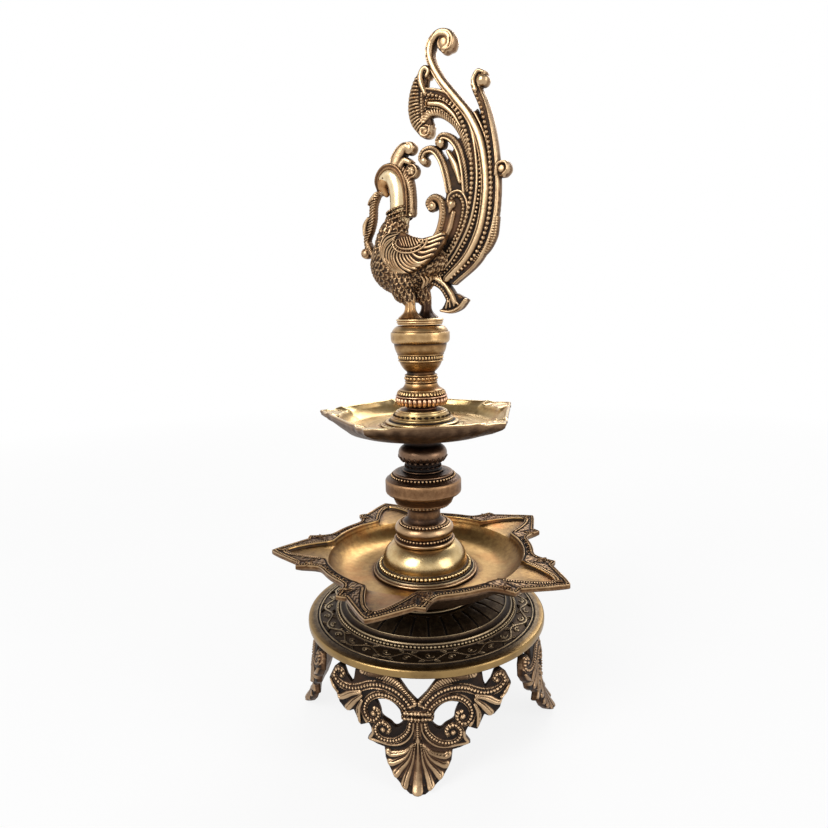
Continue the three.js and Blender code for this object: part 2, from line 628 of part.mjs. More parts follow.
function addUrn() {
  const h = URN_HEIGHT;
  const n = URN_NECK_RADIUS;
  const b = URN_BAND_RADIUS;
  const r = URN_RIM_RADIUS;
  const outside = [
    [URN_FOOT_RADIUS - 0.8, 0], [URN_FOOT_RADIUS, 1.8], [URN_FOOT_RADIUS, 4.4], [URN_FOOT_RADIUS - 1, 5.7],
    [n, 7.2], [n + 1.4, h * 0.245], [n + 4, h * 0.315], [b - 0.7, h * 0.385], [b, h * 0.41], [b, h * 0.47],
    [b + 2.2, h * 0.6], [b + 2.6, h * 0.665], [r - 0.6, h * 0.73], [r - 0.3, h * 0.8], [r, h * 0.88],
    [r - 1, h * 0.915], [URN_TOP_RADIUS + 0.8, h - 1.2], [URN_TOP_RADIUS, h],
  ];
  place("urn", stemPiece(URN_BASE, TOP_STUD_RADIUS + BORE_PLAY, outside), brass);
}

// Plumes of the tail, as centre lines [back, height over the urn] with widths at both ends.
// A curl is a round boss at the end of a plume.
const PLUMES = [
  {
    width: [8, 9, 7],
    path: [[22, 33], [39.5, 45], [50, 63], [53.5, 84], [52, 108], [42, 135], [28, 153], [16, 170], [13, 184]],
  },
  {
    width: [5, 7, 5.5],
    path: [[26, 31], [47, 44], [58, 64], [60.5, 86], [59, 108], [54, 133], [48, 154]],
  },
  {
    width: [5, 7, 7],
    path: [[13, 36], [27, 49], [40, 69], [45, 91], [44, 112], [39, 131], [30, 146], [14, 156]],
  },
  { width: [6, 7, 5], path: [[43, 109], [39, 123], [31, 134], [21, 140.5], [9, 141]] },
  { width: [6, 6, 5], path: [[39, 88], [37.5, 103], [33, 117], [24, 126]] },
  { width: [6, 6, 5], path: [[26.5, 89], [24, 101], [19, 113], [11, 120]] },
  { width: [4, 6, 5], path: [[14, 41], [27, 53], [36, 68], [38, 82], [32, 88]] },
  { width: [5, 6, 5], path: [[9, 57], [18, 64], [22, 75], [20, 86]] },
];
const CURLS = [
  [24, 185.5, 6.6], [49.8, 156, 6.2], [65, 99, 5.6], [21.5, 124, 4.8], [8.2, 113, 5], [30, 82, 5.6],
  [14.8, 83, 5.6], [7.6, 168.6, 4.4], [9.5, 131.8, 5],
];
const PLUME_TOP = [[13, 184], [16, 190.5], [23.6, 193]];
const FAN = [
  [12, 171], [4, 171], [-2, 161], [-4.6, 149], [-2, 137], [5, 128], [13, 127], [11, 138], [8, 141],
  [20, 141], [20, 150], [8, 156], [9, 163],
];
const WEB = [
  [14, 37], [28, 33], [47, 46], [58, 66], [60, 88], [58, 112], [54, 131], [49, 143], [42, 137], [40, 122],
  [30, 124], [22, 112], [26, 90], [24, 75], [20, 60], [10, 50],
];
const TUFT = [
  [4, 34], [12, 36], [22, 32], [28, 24], [31, 18], [39, 17], [35, 10], [27, 7], [19, 9], [21, 15], [15, 25],
];
const EDGE_FRINGE = [[60, 70], [63.5, 71], [62, 60], [55, 50], [47, 43], [44, 46], [52, 54]];
const CREST = [
  [-18, 110], [-14, 122], [-9, 128], [-2, 127], [0, 122], [-5, 117], [3, 112], [3, 105], [-5, 103],
];

// Stations of the round limbs, [back, height over the urn, radius]
const NECK_STATIONS = [
  [-25, 50, 13], [-21, 66, 11.5], [-17, 77, 8.4], [-14.3, 86, NECK_RADIUS], [-14.6, 97, NECK_RADIUS],
  [-17, 105, NECK_RADIUS], [-22.5, 109, 6.6], [-27.5, 105, 6.2], [-29, 100, 5.2], [-26, 96, 2.6],
];
const GARLAND_STATIONS = [
  [-28, 97, 2.6], [-35, 93, 2.4], [-37.5, 84, 2.4], [-38, 74, 2.6], [-43.5, 66, 3], [-39, 56, 3],
];
const DRAWN_BIRD_BASE = 1.5;
const DRAWN_BIRD_TOP = 195.5;
const BIRD_HEIGHT = 194.0; // from the urn to the top of the tail

// Point of the drawing, [back, height], at its place over the urn
function across([x, z]) {
  const share = (z - DRAWN_BIRD_BASE) / (DRAWN_BIRD_TOP - DRAWN_BIRD_BASE);
  return new THREE.Vector2(x, share * BIRD_HEIGHT);
}

// Flat casting of a drawn outline, of a thickness, about the bird's middle plane
function slab(points, thickness) {
  const shape = new THREE.Shape(points);
  const geometry = new THREE.ExtrudeGeometry(shape, { depth: thickness, bevelEnabled: false });
  return toSolid(geometry.rotateX(Math.PI / 2).translate(0, thickness / 2, 0));
}

// Ribbon along a centre line, its width running through three values
function ribbon(path, [first, middle, last]) {
  const curve = new THREE.SplineCurve(path.map(across));
  const steps = path.length + 3;
  const left = [];
  const right = [];
  for (let k = 0; k <= steps; k += 1) {
    const t = k / steps;
    const width = along([[0, first], [0.5, middle], [1, last]], t);
    const point = curve.getPoint(t);
    const tangent = curve.getTangent(t);
    const side = new THREE.Vector2(-tangent.y, tangent.x).multiplyScalar(width / 2);
    left.push(point.clone().add(side));
    right.push(point.clone().sub(side));
  }
  return [...left, ...right.reverse()];
}

function roundBoss([x, z, r], thickness) {
  const centre = across([x, z]);
  const geometry = new THREE.CylinderGeometry(r, r, thickness, 12);
  return toSolid(geometry.translate(centre.x, 0, centre.y));
}

function egg([x, z], [length, width, height], tilt, y = 0, rings = 7) {
  const geometry = new THREE.SphereGeometry(0.5, 14, rings);
  geometry.scale(length, width, height).rotateY(THREE.MathUtils.degToRad(tilt));
  const centre = across([x, z]);
  return toSolid(geometry.translate(centre.x, y, centre.y));
}

// Round limb through [back, height, radius] stations
function limb(stations, y = 0, sides = 10) {
  const position = [];
  const index = [];
  const centres = stations.map(([x, z]) => across([x, z]));
  stations.forEach(([, , r], i) => {
    const before = centres[Math.max(i - 1, 0)];
    const after = centres[Math.min(i + 1, centres.length - 1)];
    const tangent = after.clone().sub(before).normalize();
    for (let k = 0; k < sides; k += 1) {
      const a = (2 * Math.PI * k) / sides;
      const [out, wide] = [r * Math.cos(a), r * Math.sin(a)];
      position.push(centres[i].x - tangent.y * out, y + wide, centres[i].y + tangent.x * out);
    }
  });
  for (let i = 0; i + 1 < stations.length; i += 1) {
    for (let k = 0; k < sides; k += 1) {
      const [a, b] = [i * sides + k, i * sides + ((k + 1) % sides)];
      index.push(a, b, b + sides, a, b + sides, a + sides);
    }
  }
  const last = (stations.length - 1) * sides;
  for (let k = 1; k + 1 < sides; k += 1) {
    index.push(0, k + 1, k, last, last + k, last + k + 1);
  }
  const geometry = new THREE.BufferGeometry();
  geometry.setAttribute("position", new THREE.Float32BufferAttribute(position, 3));
  geometry.setIndex(index);
  return toSolid(geometry);
}

function tailSolids() {
  const solids = PLUMES.map(({ path, width }) => slab(ribbon(path, width), TAIL_THICKNESS));
  solids.push(slab(ribbon(PLUME_TOP, [7, 6, 5]), TAIL_THICKNESS));
  for (const outline of [FAN, EDGE_FRINGE]) solids.push(slab(outline.map(across), WEB_THICKNESS + 1));
  solids.push(slab(WEB.map(across), WEB_THICKNESS));
  solids.push(slab(TUFT.map(across), TAIL_THICKNESS + 1));
  for (const curl of CURLS) solids.push(roundBoss(curl, TAIL_THICKNESS + 1));
  return solids;
}

function bodySolids() {
  const solids = [
    egg([-14.5, 44], [BODY_LENGTH, BODY_WIDTH, BODY_DEPTH], 12, 0, 9),
    egg([8, 45], [36, BODY_WIDTH * 0.6, 24], -6),
    limb(NECK_STATIONS),
    limb(GARLAND_STATIONS, 0, 6),
    roundBoss([-44.5, 53, 3.6], 6),
    slab(CREST.map(across), WEB_THICKNESS),
  ];
  for (const side of [1, -1]) {
    solids.push(egg([-5, 51], [48, 9, 26], -14, side * (BODY_WIDTH / 2 - 3.6), 6));
    const y = (side * STANCE) / 2;
    solids.push(limb([[-2, 32, 8], [-1, 24, 6], [-0.5, 14, SHIN_RADIUS], [-1, 9, SHIN_RADIUS + 1.4],
      [-1.5, PLINTH_HEIGHT - 0.6, SHIN_RADIUS + 3.2]], y, 8));
  }
  return solids;
}

function addPeacock() {
  const r = PLINTH_RADIUS;
  const h = PLINTH_HEIGHT;
  const plinth = [
    [0, 0], [r - 1.3, 0], [r - 1.3, h * 0.3], [r, h * 0.4], [r, h * 0.85], [r - 0.9, h], [0, h],
  ];
  const points = plinth.map(([x, z]) => new THREE.Vector2(x, z));
  const foot = toSolid(new THREE.LatheGeometry(points, SIDES_STEM).rotateX(Math.PI / 2));
  const studHole = toSolid(rod(TOP_STUD_RADIUS + PRESS_PLAY, -1, h - 0.9));
  const bird = joined([foot, ...bodySolids(), ...tailSolids()]).subtract(studHole);
  place("peacock_finial", toGeometry(bird).translate(0, 0, FINIAL_BASE), brass, BIRD_TURN);
  const studLow = FINIAL_BASE - SEAT - FINIAL_THREAD;
  place("finial_stud", rod(TOP_STUD_RADIUS, studLow, FINIAL_BASE + h - 1.2), steel);
}

addDisc();
addLegs();
addPedestal();
addBaseStud();
addBasin();
addBell();
addSpool();
addKnop();
addBall();
addTray();
addCollar();
addBulb();
addUrn();
addPeacock();

export default lamp;
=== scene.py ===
"""Looks of a two-tier oil lamp of cast and antiqued brass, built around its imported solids.

Everything is modelled in millimetres about the stem's axis, +Z up, with the front leg at -Y, and
is turned into metres and set on that axis when a mesh is made. Heights come from the solids that a
piece stands for.
"""
import math

import bpy
import numpy as np
from mathutils import Matrix, Vector


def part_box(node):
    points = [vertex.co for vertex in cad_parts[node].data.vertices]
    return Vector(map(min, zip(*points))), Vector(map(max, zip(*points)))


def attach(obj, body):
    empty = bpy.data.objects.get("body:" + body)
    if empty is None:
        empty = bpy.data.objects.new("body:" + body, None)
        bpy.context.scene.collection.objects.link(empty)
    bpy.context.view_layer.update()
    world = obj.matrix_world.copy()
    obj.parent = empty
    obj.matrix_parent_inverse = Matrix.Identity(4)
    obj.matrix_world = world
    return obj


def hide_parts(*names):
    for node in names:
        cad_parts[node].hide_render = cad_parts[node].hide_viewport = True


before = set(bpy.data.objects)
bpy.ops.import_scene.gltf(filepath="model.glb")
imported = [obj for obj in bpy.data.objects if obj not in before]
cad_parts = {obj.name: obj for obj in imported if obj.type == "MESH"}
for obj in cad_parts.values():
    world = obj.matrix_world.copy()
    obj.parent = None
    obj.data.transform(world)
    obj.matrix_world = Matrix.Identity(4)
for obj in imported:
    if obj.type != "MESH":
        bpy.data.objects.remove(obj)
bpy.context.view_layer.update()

MM = 0.001
STEM_AXIS = (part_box("bell")[0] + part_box("bell")[1]) / 2 / MM * Vector((1, 1, 0))

# Camera, from a fit to the photograph's circles
CAMERA_PLACE = (36.57, -459.55, 313.48)  # from the stem's foot
CAMERA_AZIMUTH = 95.281  # degrees from +X to the way it looks
CAMERA_TILT = -9.593
CAMERA_ROLL = -1.339
CAMERA_LENS = 27.204
CAMERA_SENSOR = 36.0

# Turning and casting
EDGE_ROUND = 0.35  # radius that a turned edge is worn to
TURNED_STEP = 0.7  # longest step along a turned section
SIDES = 160  # of a turned piece

# Stand
DISC_REEDS = 30
VINE_WAVES = 16
VINE_RADIUS = 76.2  # of the line that the vine waves about

# Basin with spouts
SPOUTS = 5
SPOUT_TURN = 40.5  # degrees from +X to the first spout
BORDER_STEPS = 26  # of the grid across the engraved border
VEIN_TURNS = 1.9  # radians of the leaf pattern per mm along the border

# Tray with corners
CORNERS = 5
CORNER_TURN = 30.5  # degrees from +X to the first corner
PETALS = 24

# Legs
LEG_BOW = 130.0  # radius that a leg's face is bowed to
LEG_THICKNESS = 6.0
RIM_RADIUS = 91.4  # of the stand, where the legs start

# Peacock
BIRD_TURN = -25.45  # degrees from +X to the bird's own plane
FLAT_HALF = 2.5  # half the thickness of the flat casting, without its relief
WING_SHIFT = 6.4  # each wing lies this far along the body from the drawing, one ahead and one behind
BIRD_LEGS = ((-1, -3.6), (1, 1.6))  # side, and place along the body
BIRD_LEG_OUT = 7.2
PLINTH_TOP = 306.5

# Studio
FLOOR_GLOW = 0.85
ROOF_LEVEL = 0.24  # of the surroundings overhead, 1 being white
FILL_LEVEL = 0.35


def foot(node):
    """Lowest height of a solid."""
    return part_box(node)[0].z / MM


def head(node):
    """Highest height of a solid."""
    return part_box(node)[1].z / MM


# Curves and outlines

def arc(a, b, sag, steps=8):
    """Points of the arc from a to b that bulges by sag to the right of the way from a to b."""
    a, b = np.array(a, float), np.array(b, float)
    chord = b - a
    length = np.hypot(*chord)
    if abs(sag) < 1e-6:
        return [tuple(a), tuple(b)]
    out = np.array([chord[1], -chord[0]]) / length
    radius = (length**2 / 4 + sag**2) / (2 * abs(sag))
    half = math.asin(min(length / (2 * radius), 1.0))
    if abs(sag) > length / 2:
        half = math.pi - half
    side = math.copysign(1.0, sag)
    centre = (a + b) / 2 + out * side * (abs(sag) - radius)
    points = []
    for t in np.linspace(-half, half, steps + 1):
        points.append(tuple(centre + radius * (math.sin(t) * chord / length + math.cos(t) * side * out)))
    return points


def softened(points, radius=EDGE_ROUND):
    """A closed outline with its corners cut back to short curves."""
    points = np.array(points, float)
    soft = []
    for before, here, after in zip(np.roll(points, 1, 0), points, np.roll(points, -1, 0)):
        back, on = before - here, after - here
        reach_back, reach_on = np.hypot(*back), np.hypot(*on)
        if min(reach_back, reach_on) < 1e-6:
            continue
        turn = math.acos(np.clip(-(back @ on) / (reach_back * reach_on), -1, 1))
        if turn < math.radians(18):
            soft.append(here)
            continue
        first = here + back * min(radius / reach_back, 0.45)
        last = here + on * min(radius / reach_on, 0.45)
        for t in (0, 0.33, 0.67, 1):
            soft.append(first * (1 - t) ** 2 + here * 2 * t * (1 - t) + last * t**2)
    return np.array(soft)


def resampled(points, step, closed=True):
    """The same outline with no step longer than a length."""
    result = []
    ends = np.roll(points, -1, 0) if closed else points[1:]
    for a, b in zip(points, ends):
        count = max(1, math.ceil(np.hypot(*(b - a)) / step))
        result.extend(a + (b - a) * k / count for k in range(count))
    if not closed:
        result.append(points[-1])
    return np.array(result)


def smooth_path(points, step=0.6):
    """An even, smooth curve through points."""
    points = np.array(points, float)
    padded = np.vstack([2 * points[0] - points[1], points, 2 * points[-1] - points[-2]])
    dense = []
    for p0, p1, p2, p3 in zip(padded, padded[1:], padded[2:], padded[3:]):
        for t in np.linspace(0, 1, 12, endpoint=False):
            dense.append(0.5 * (2 * p1 + (p2 - p0) * t + (2 * p0 - 5 * p1 + 4 * p2 - p3) * t**2
                                + (3 * p1 - p0 - 3 * p2 + p3) * t**3))
    dense.append(points[-1])
    dense = np.array(dense)
    lengths = np.concatenate([[0], np.cumsum(np.linalg.norm(np.diff(dense, axis=0), axis=1))])
    even = np.linspace(0, lengths[-1], max(3, math.ceil(lengths[-1] / step) + 1))
    return np.stack([np.interp(even, lengths, dense[:, k]) for k in range(dense.shape[1])], 1)


# Meshes

class Shell:
    """Points, faces and relief of a piece in the making. Relief runs from -1, deep, to 1, worn bright.
    kind says which of the piece's looks the faces have."""

    def __init__(self):
        self.points, self.faces, self.relief, self.kinds, self.count = [], [], [], [], 0

    def add(self, points, faces, relief=0.0, kind=0):
        points = np.asarray(points, float).reshape(-1, 3)
        faces = np.asarray(faces, int)
        self.points.append(points)
        self.faces.append(faces + self.count)
        self.relief.append(np.broadcast_to(np.ravel(relief), len(points)).astype(float))
        self.kinds.append(np.broadcast_to(kind, len(faces)).astype(int))
        self.count += len(points)

    def piece(self, name, looks, body, *nodes, sharp=38):
        """Makes the object, which rides on a body and stands for some nodes."""
        looks = looks if isinstance(looks, list) else [looks]
        mesh = bpy.data.meshes.new(name)
        points = np.vstack(self.points) + np.array(STEM_AXIS)
        corners = np.concatenate([faces.ravel() for faces in self.faces])
        sizes = np.concatenate([np.full(len(faces), faces.shape[1]) for faces in self.faces])
        mesh.vertices.add(len(points))
        mesh.vertices.foreach_set("co", (points * MM).ravel())
        mesh.loops.add(len(corners))
        mesh.loops.foreach_set("vertex_index", corners)
        mesh.polygons.add(len(sizes))
        mesh.polygons.foreach_set("loop_start", np.cumsum(sizes) - sizes)
        for look in looks:
            mesh.materials.append(look)
        mesh.polygons.foreach_set("material_index", np.concatenate(self.kinds))
        mesh.update(calc_edges=True)
        mesh.shade_smooth()
        mesh.set_sharp_from_angle(angle=math.radians(sharp))
        layer = mesh.attributes.new("relief", "FLOAT", "POINT")
        layer.data.foreach_set("value", np.concatenate(self.relief))
        mesh.validate()
        piece = bpy.data.objects.new(name, mesh)
        bpy.context.scene.collection.objects.link(piece)
        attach(piece, body)
        if nodes:
            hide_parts(*nodes)
        return piece


def standing(outline, reach):
    """How far each point of a closed outline stands out, 1, or lies back, -1, within a reach."""
    ahead = np.roll(outline, -1, 0) - outline
    steps = np.hypot(ahead[:, 0], ahead[:, 1])
    place = np.cumsum(steps) - steps
    apart = np.abs(place[:, None] - place[None])
    apart = np.minimum(apart, steps.sum() - apart)
    weight = np.exp(-0.5 * (apart / reach) ** 2) * (steps + np.roll(steps, 1))[None]
    middle = weight @ outline / weight.sum(1)[:, None]
    return np.clip(((outline - middle) * outline_normals(outline)).sum(1) / (0.3 * reach), -1, 1)


def grid_faces(rows, columns, wrap_rows=True, wrap_columns=True):
    """Four-sided faces of a grid of points, whose rows follow one another."""
    i, j = np.meshgrid(np.arange(rows if wrap_rows else rows - 1),
                       np.arange(columns if wrap_columns else columns - 1), indexing="ij")
    here, right = i * columns + j, i * columns + (j + 1) % columns
    below = ((i + 1) % rows) * columns + j
    across = ((i + 1) % rows) * columns + (j + 1) % columns
    return np.stack([here, right, across, below], -1).reshape(-1, 4)


def outline_normals(outline):
    """Outward normals of a closed outline that runs up its outside."""
    tangent = np.roll(outline, -1, 0) - np.roll(outline, 1, 0)
    normal = np.stack([tangent[:, 1], -tangent[:, 0]], 1)
    return normal / np.maximum(np.hypot(normal[:, 0], normal[:, 1]), 1e-9)[:, None]


def turned(shell, section, sides=SIDES, ripple=None, reach=1.4, edge=EDGE_ROUND, step=TURNED_STEP,
           kind_of=None):
    """Turned solid of a closed section of [radius, height] points, that runs up its outside.
    ripple gives (push outwards, relief) from the angle in radians, the radius and the height."""
    outline = resampled(softened(section, edge), step)
    relief = 0.6 * standing(outline, reach) + 0.4 * standing(outline, 3 * reach)
    angle = np.arange(sides)[:, None] * 2 * math.pi / sides
    radius = np.broadcast_to(outline[:, 0], (sides, len(outline)))
    height = np.broadcast_to(outline[:, 1], radius.shape)
    tone = np.broadcast_to(relief, radius.shape)
    if ripple:
        push, mark = ripple(angle, radius, height)
        normal = outline_normals(outline)
        radius = radius + push * normal[:, 0]
        height = height + push * normal[:, 1]
        tone = np.clip(tone + mark, -1, 1)
    points = np.stack([radius * np.cos(angle), radius * np.sin(angle), height], -1)
    kind = 0
    if kind_of:
        kind = np.tile(kind_of(outline[:, 0], outline[:, 1]), sides)
    shell.add(points, grid_faces(sides, len(outline)), tone.ravel(), kind)


def round_form(length, width, height, power=1.0, around=10, up=7):
    """Small rounded form along x, standing up z: a bead, or with a power under 1 a blunt block."""
    points, tone = [], []
    for b in np.linspace(-math.pi / 2, math.pi / 2, up):
        for a in np.arange(around) * 2 * math.pi / around:
            p = np.array([math.cos(b) * math.cos(a), math.cos(b) * math.sin(a), math.sin(b)])
            p = np.sign(p) * np.abs(p) ** power
            points.append(p * (length / 2, width / 2, height / 2))
            tone.append(np.clip(1.5 * p[2] + 0.1, -1, 1))
    return np.array(points), grid_faces(up, around, wrap_rows=False), np.array(tone)


def drop_form(length, width, height, around=14):
    """Drop with a raised rim and a sunk middle, its point at -x."""
    rings = [(1.0, -0.2), (1.0, 0.35), (0.84, 1.0), (0.62, 0.45), (0.35, 0.3), (0.12, 0.75), (0.02, 0.8)]
    points, tone = [], []
    for share, rise in rings:
        for a in np.arange(around) * 2 * math.pi / around:
            x = 0.5 * length * math.cos(a)
            taper = 0.62 + 0.38 * math.cos(a)
            points.append((share * x, share * 0.5 * width * math.sin(a) * taper, rise * height))
            tone.append(1.7 * rise - 0.9)
    return np.array(points), grid_faces(len(rings), around, wrap_rows=False), np.clip(tone, -1, 1)


def set_along(shell, form, places, along, out, kind=0):
    """Copies of a small form at places, with its x along and its z out."""
    points, faces, tone = form
    places, along, out = (np.asarray(v, float).reshape(-1, 3) for v in (places, along, out))
    along = along / np.linalg.norm(along, axis=1)[:, None]
    side = np.cross(out, along)
    side /= np.linalg.norm(side, axis=1)[:, None]
    out = np.cross(along, side)
    copies = (places[:, None] + points[None, :, :1] * along[:, None]
              + points[None, :, 1:2] * side[:, None] + points[None, :, 2:] * out[:, None])
    count = len(points)
    first_points = np.arange(len(places)) * count
    all_faces = (faces[None] + first_points[:, None, None]).reshape(-1, faces.shape[1])
    shell.add(copies, all_faces, np.tile(tone, len(places)), kind)


def ring_of(shell, form, radius, height, pitch, lean=0.0, turn=0.0, upright=False, kind=0):
    """Copies of a small form in a ring, a pitch apart. lean tips their outside up, in degrees."""
    count = round(2 * math.pi * radius / pitch)
    angle = np.arange(count) * 2 * math.pi / count + math.radians(turn)
    radial = np.stack([np.cos(angle), np.sin(angle), 0 * angle], -1)
    around = np.stack([-np.sin(angle), np.cos(angle), 0 * angle], -1)
    tip = math.radians(lean)
    out = radial * math.cos(tip) + np.array([0, 0, 1]) * math.sin(tip)
    places = radial * radius + np.array([0, 0, height])
    along = np.cross(around, out) if upright else around
    set_along(shell, form, places, along, out, kind=kind)


# Materials

def node(tree, kind, **values):
    """A shader node with some inputs or settings: a value, or another node's output."""
    made = tree.nodes.new("ShaderNode" + kind)
    for name, value in values.items():
        key = name.replace("_", " ")
        if name[0].islower():
            setattr(made, name, value)
        elif isinstance(value, bpy.types.NodeSocket):
            tree.links.new(value, made.inputs[key])
        else:
            made.inputs[key].default_value = value
    return made


def maths(tree, operation, a, b=0.0, clamp=False):
    """One sum of a shader tree, of values or outputs."""
    made = tree.nodes.new("ShaderNodeMath")
    made.operation = operation
    made.use_clamp = clamp
    for socket, value in zip(made.inputs, (a, b)):
        if isinstance(value, bpy.types.NodeSocket):
            tree.links.new(value, socket)
        else:
            socket.default_value = value
    return made.outputs[0]


def noise(tree, coords, scale, detail=3.0, rough=0.55):
    """Cloudy noise about 0.5, finer as the scale grows."""
    made = node(tree, "TexNoise", Vector=coords, Scale=scale, Detail=detail, Roughness=rough)
    return made.outputs["Fac"]


def stretched(tree, value, low, high, to_low=0.0, to_high=1.0):
    """A value moved from one range to another."""
    made = tree.nodes.new("ShaderNodeMapRange")
    tree.links.new(value, made.inputs["Value"])
    for name, number in (("From Min", low), ("From Max", high), ("To Min", to_low), ("To Max", to_high)):
        made.inputs[name].default_value = number
    return made.outputs["Result"]


def ramp(tree, value, stops):
    """A colour that follows a value through (place, colour) stops."""
    made = tree.nodes.new("ShaderNodeValToRGB")
    tree.links.new(value, made.inputs["Fac"])
    elements = made.color_ramp.elements
    while len(elements) < len(stops):
        elements.new(0.5)
    for element, (place, colour) in zip(elements, stops):
        element.position = place
        element.color = (*colour, 1)
    return made.outputs["Color"]


def blended(tree, share, a, b):
    """A mix of two colours."""
    made = tree.nodes.new("ShaderNodeMix")
    made.data_type = "RGBA"
    for name, value in (("Factor_Float", share), ("A_Color", a), ("B_Color", b)):
        socket = next(s for s in made.inputs if s.identifier == name)
        if isinstance(value, bpy.types.NodeSocket):
            tree.links.new(value, socket)
        else:
            socket.default_value = value if name == "Factor_Float" else (*value, 1)
    return next(s for s in made.outputs if s.identifier == "Result_Color")


def new_look(name, slot):
    """A material of a slot, with no nodes yet."""
    look = bpy.data.materials.new(name)
    look.use_nodes = True
    look["slot"] = slot
    look.node_tree.nodes.clear()
    return look, look.node_tree


def end_look(tree, shader, colour):
    tree.links.new(colour, shader.inputs["Base Color"])
    output = node(tree, "OutputMaterial")
    tree.links.new(shader.outputs[0], output.inputs["Surface"])


def cast_metal(name, slot, dark, low, middle, bright, stain, wear=0.0, depth=0.5, polish=(0.62, 0.3),
               grain=1.0, painted_light_by_height=(0, 1, 0)):
    """Antiqued cast metal: dark in the recesses, rubbed bright where it stands out, and stained in patches.
    Its ambient occlusion term darkens the recesses as patina and also paints shade under and between parts.
    painted_light_by_height is a height, a second height and how much lighter the metal is painted from the
    first up to the second: painted light on the upper parts, which lie less in shade."""
    look, tree = new_look(name, slot)
    coords = node(tree, "TexCoord").outputs["Object"]
    cloudy = noise(tree, coords, 34, 4)
    mottled = noise(tree, coords, 260, 4)
    fine = noise(tree, coords, 1500, 3, 0.6)
    relief = node(tree, "Attribute", attribute_name="relief").outputs["Fac"]
    # Ambient occlusion: darker in hollows as patina, and painted shade where neighbouring parts crowd in, as
    # under the tray
    shade = node(tree, "AmbientOcclusion", Distance=0.005, samples=6).outputs["AO"]
    level = maths(tree, "MULTIPLY", relief, depth)
    level = maths(tree, "ADD", level, maths(tree, "MULTIPLY", maths(tree, "SUBTRACT", shade, 0.85), 0.75))
    level = maths(tree, "ADD", level, maths(tree, "MULTIPLY", maths(tree, "SUBTRACT", mottled, 0.5), 0.5))
    level = maths(tree, "ADD", level, maths(tree, "MULTIPLY", maths(tree, "SUBTRACT", fine, 0.5), 0.3))
    # Painted light: lighter towards the top, where the upper parts lie less in shade
    if painted_light_by_height[2]:
        height = node(tree, "SeparateXYZ", Vector=coords).outputs["Z"]
        level = maths(tree, "ADD", level,
                      stretched(tree, height, painted_light_by_height[0], painted_light_by_height[1], 0.0, painted_light_by_height[2]))
    level = maths(tree, "ADD", level, 0.5 + wear, clamp=True)
    colour = ramp(tree, level, [(0.0, dark), (0.3, low), (0.58, middle), (0.95, bright)])
    patches = stretched(tree, cloudy, 0.5, 0.72, 0.0, 0.6)
    colour = blended(tree, patches, colour, stain)
    shine = stretched(tree, level, 0.1, 0.95, *polish)
    shine = maths(tree, "ADD", shine,
                  maths(tree, "MULTIPLY", maths(tree, "SUBTRACT", mottled, 0.5), 0.16))
    metal = stretched(tree, level, 0.0, 0.35, 0.7, 1.0)
    bump = node(tree, "Bump", Strength=0.35 * grain, Distance=0.00012, Height=fine)
    bump = node(tree, "Bump", Strength=0.3 * grain, Distance=0.0005, Height=mottled,
                Normal=bump.outputs["Normal"])
    shader = node(tree, "BsdfPrincipled", Roughness=shine, Metallic=metal, Normal=bump.outputs["Normal"])
    end_look(tree, shader, colour)
    return look


def fastener_metal():
    """Plain steel with a turned grain."""
    look, tree = new_look("fastener_steel", "fastener_steel")
    coords = node(tree, "TexCoord").outputs["Object"]
    grain = node(tree, "Mapping", Vector=coords, Scale=(1, 1, 18)).outputs[0]
    lines = noise(tree, grain, 260, 3)
    cloudy = noise(tree, coords, 90, 3)
    colour = ramp(tree, cloudy, [(0.3, (0.26, 0.25, 0.23)), (0.7, (0.5, 0.48, 0.45))])
    shine = stretched(tree, lines, 0.3, 0.7, 0.28, 0.5)
    bump = node(tree, "Bump", Strength=0.2, Distance=0.0001, Height=lines).outputs["Normal"]
    shader = node(tree, "BsdfPrincipled", Roughness=shine, Metallic=1.0, Normal=bump)
    end_look(tree, shader, colour)
    return look


# The peacock's brass is painted lighter from 0.33 m up to 0.45 m: painted light on the bird's upper parts
ANTIQUE = cast_metal(
    "antique_brass", "antique_brass", dark=(0.012, 0.007, 0.005), low=(0.075, 0.04, 0.02),
    middle=(0.24, 0.134, 0.062), bright=(0.51, 0.35, 0.20), stain=(0.19, 0.085, 0.036), depth=0.55,
    wear=-0.08, painted_light_by_height=(0.33, 0.45, 0.26))
STEM = cast_metal(
    "stem_brass", "antique_brass", dark=(0.011, 0.007, 0.005), low=(0.06, 0.031, 0.017),
    middle=(0.19, 0.102, 0.05), bright=(0.50, 0.33, 0.18), stain=(0.15, 0.065, 0.034), depth=0.5,
    polish=(0.55, 0.3))
SATIN = cast_metal(
    "satin_brass", "antique_brass", dark=(0.02, 0.012, 0.007), low=(0.08, 0.045, 0.024),
    middle=(0.14, 0.070, 0.033), bright=(0.35, 0.20, 0.10), stain=(0.11, 0.05, 0.024), depth=0.4,
    polish=(0.6, 0.42), grain=2.2)
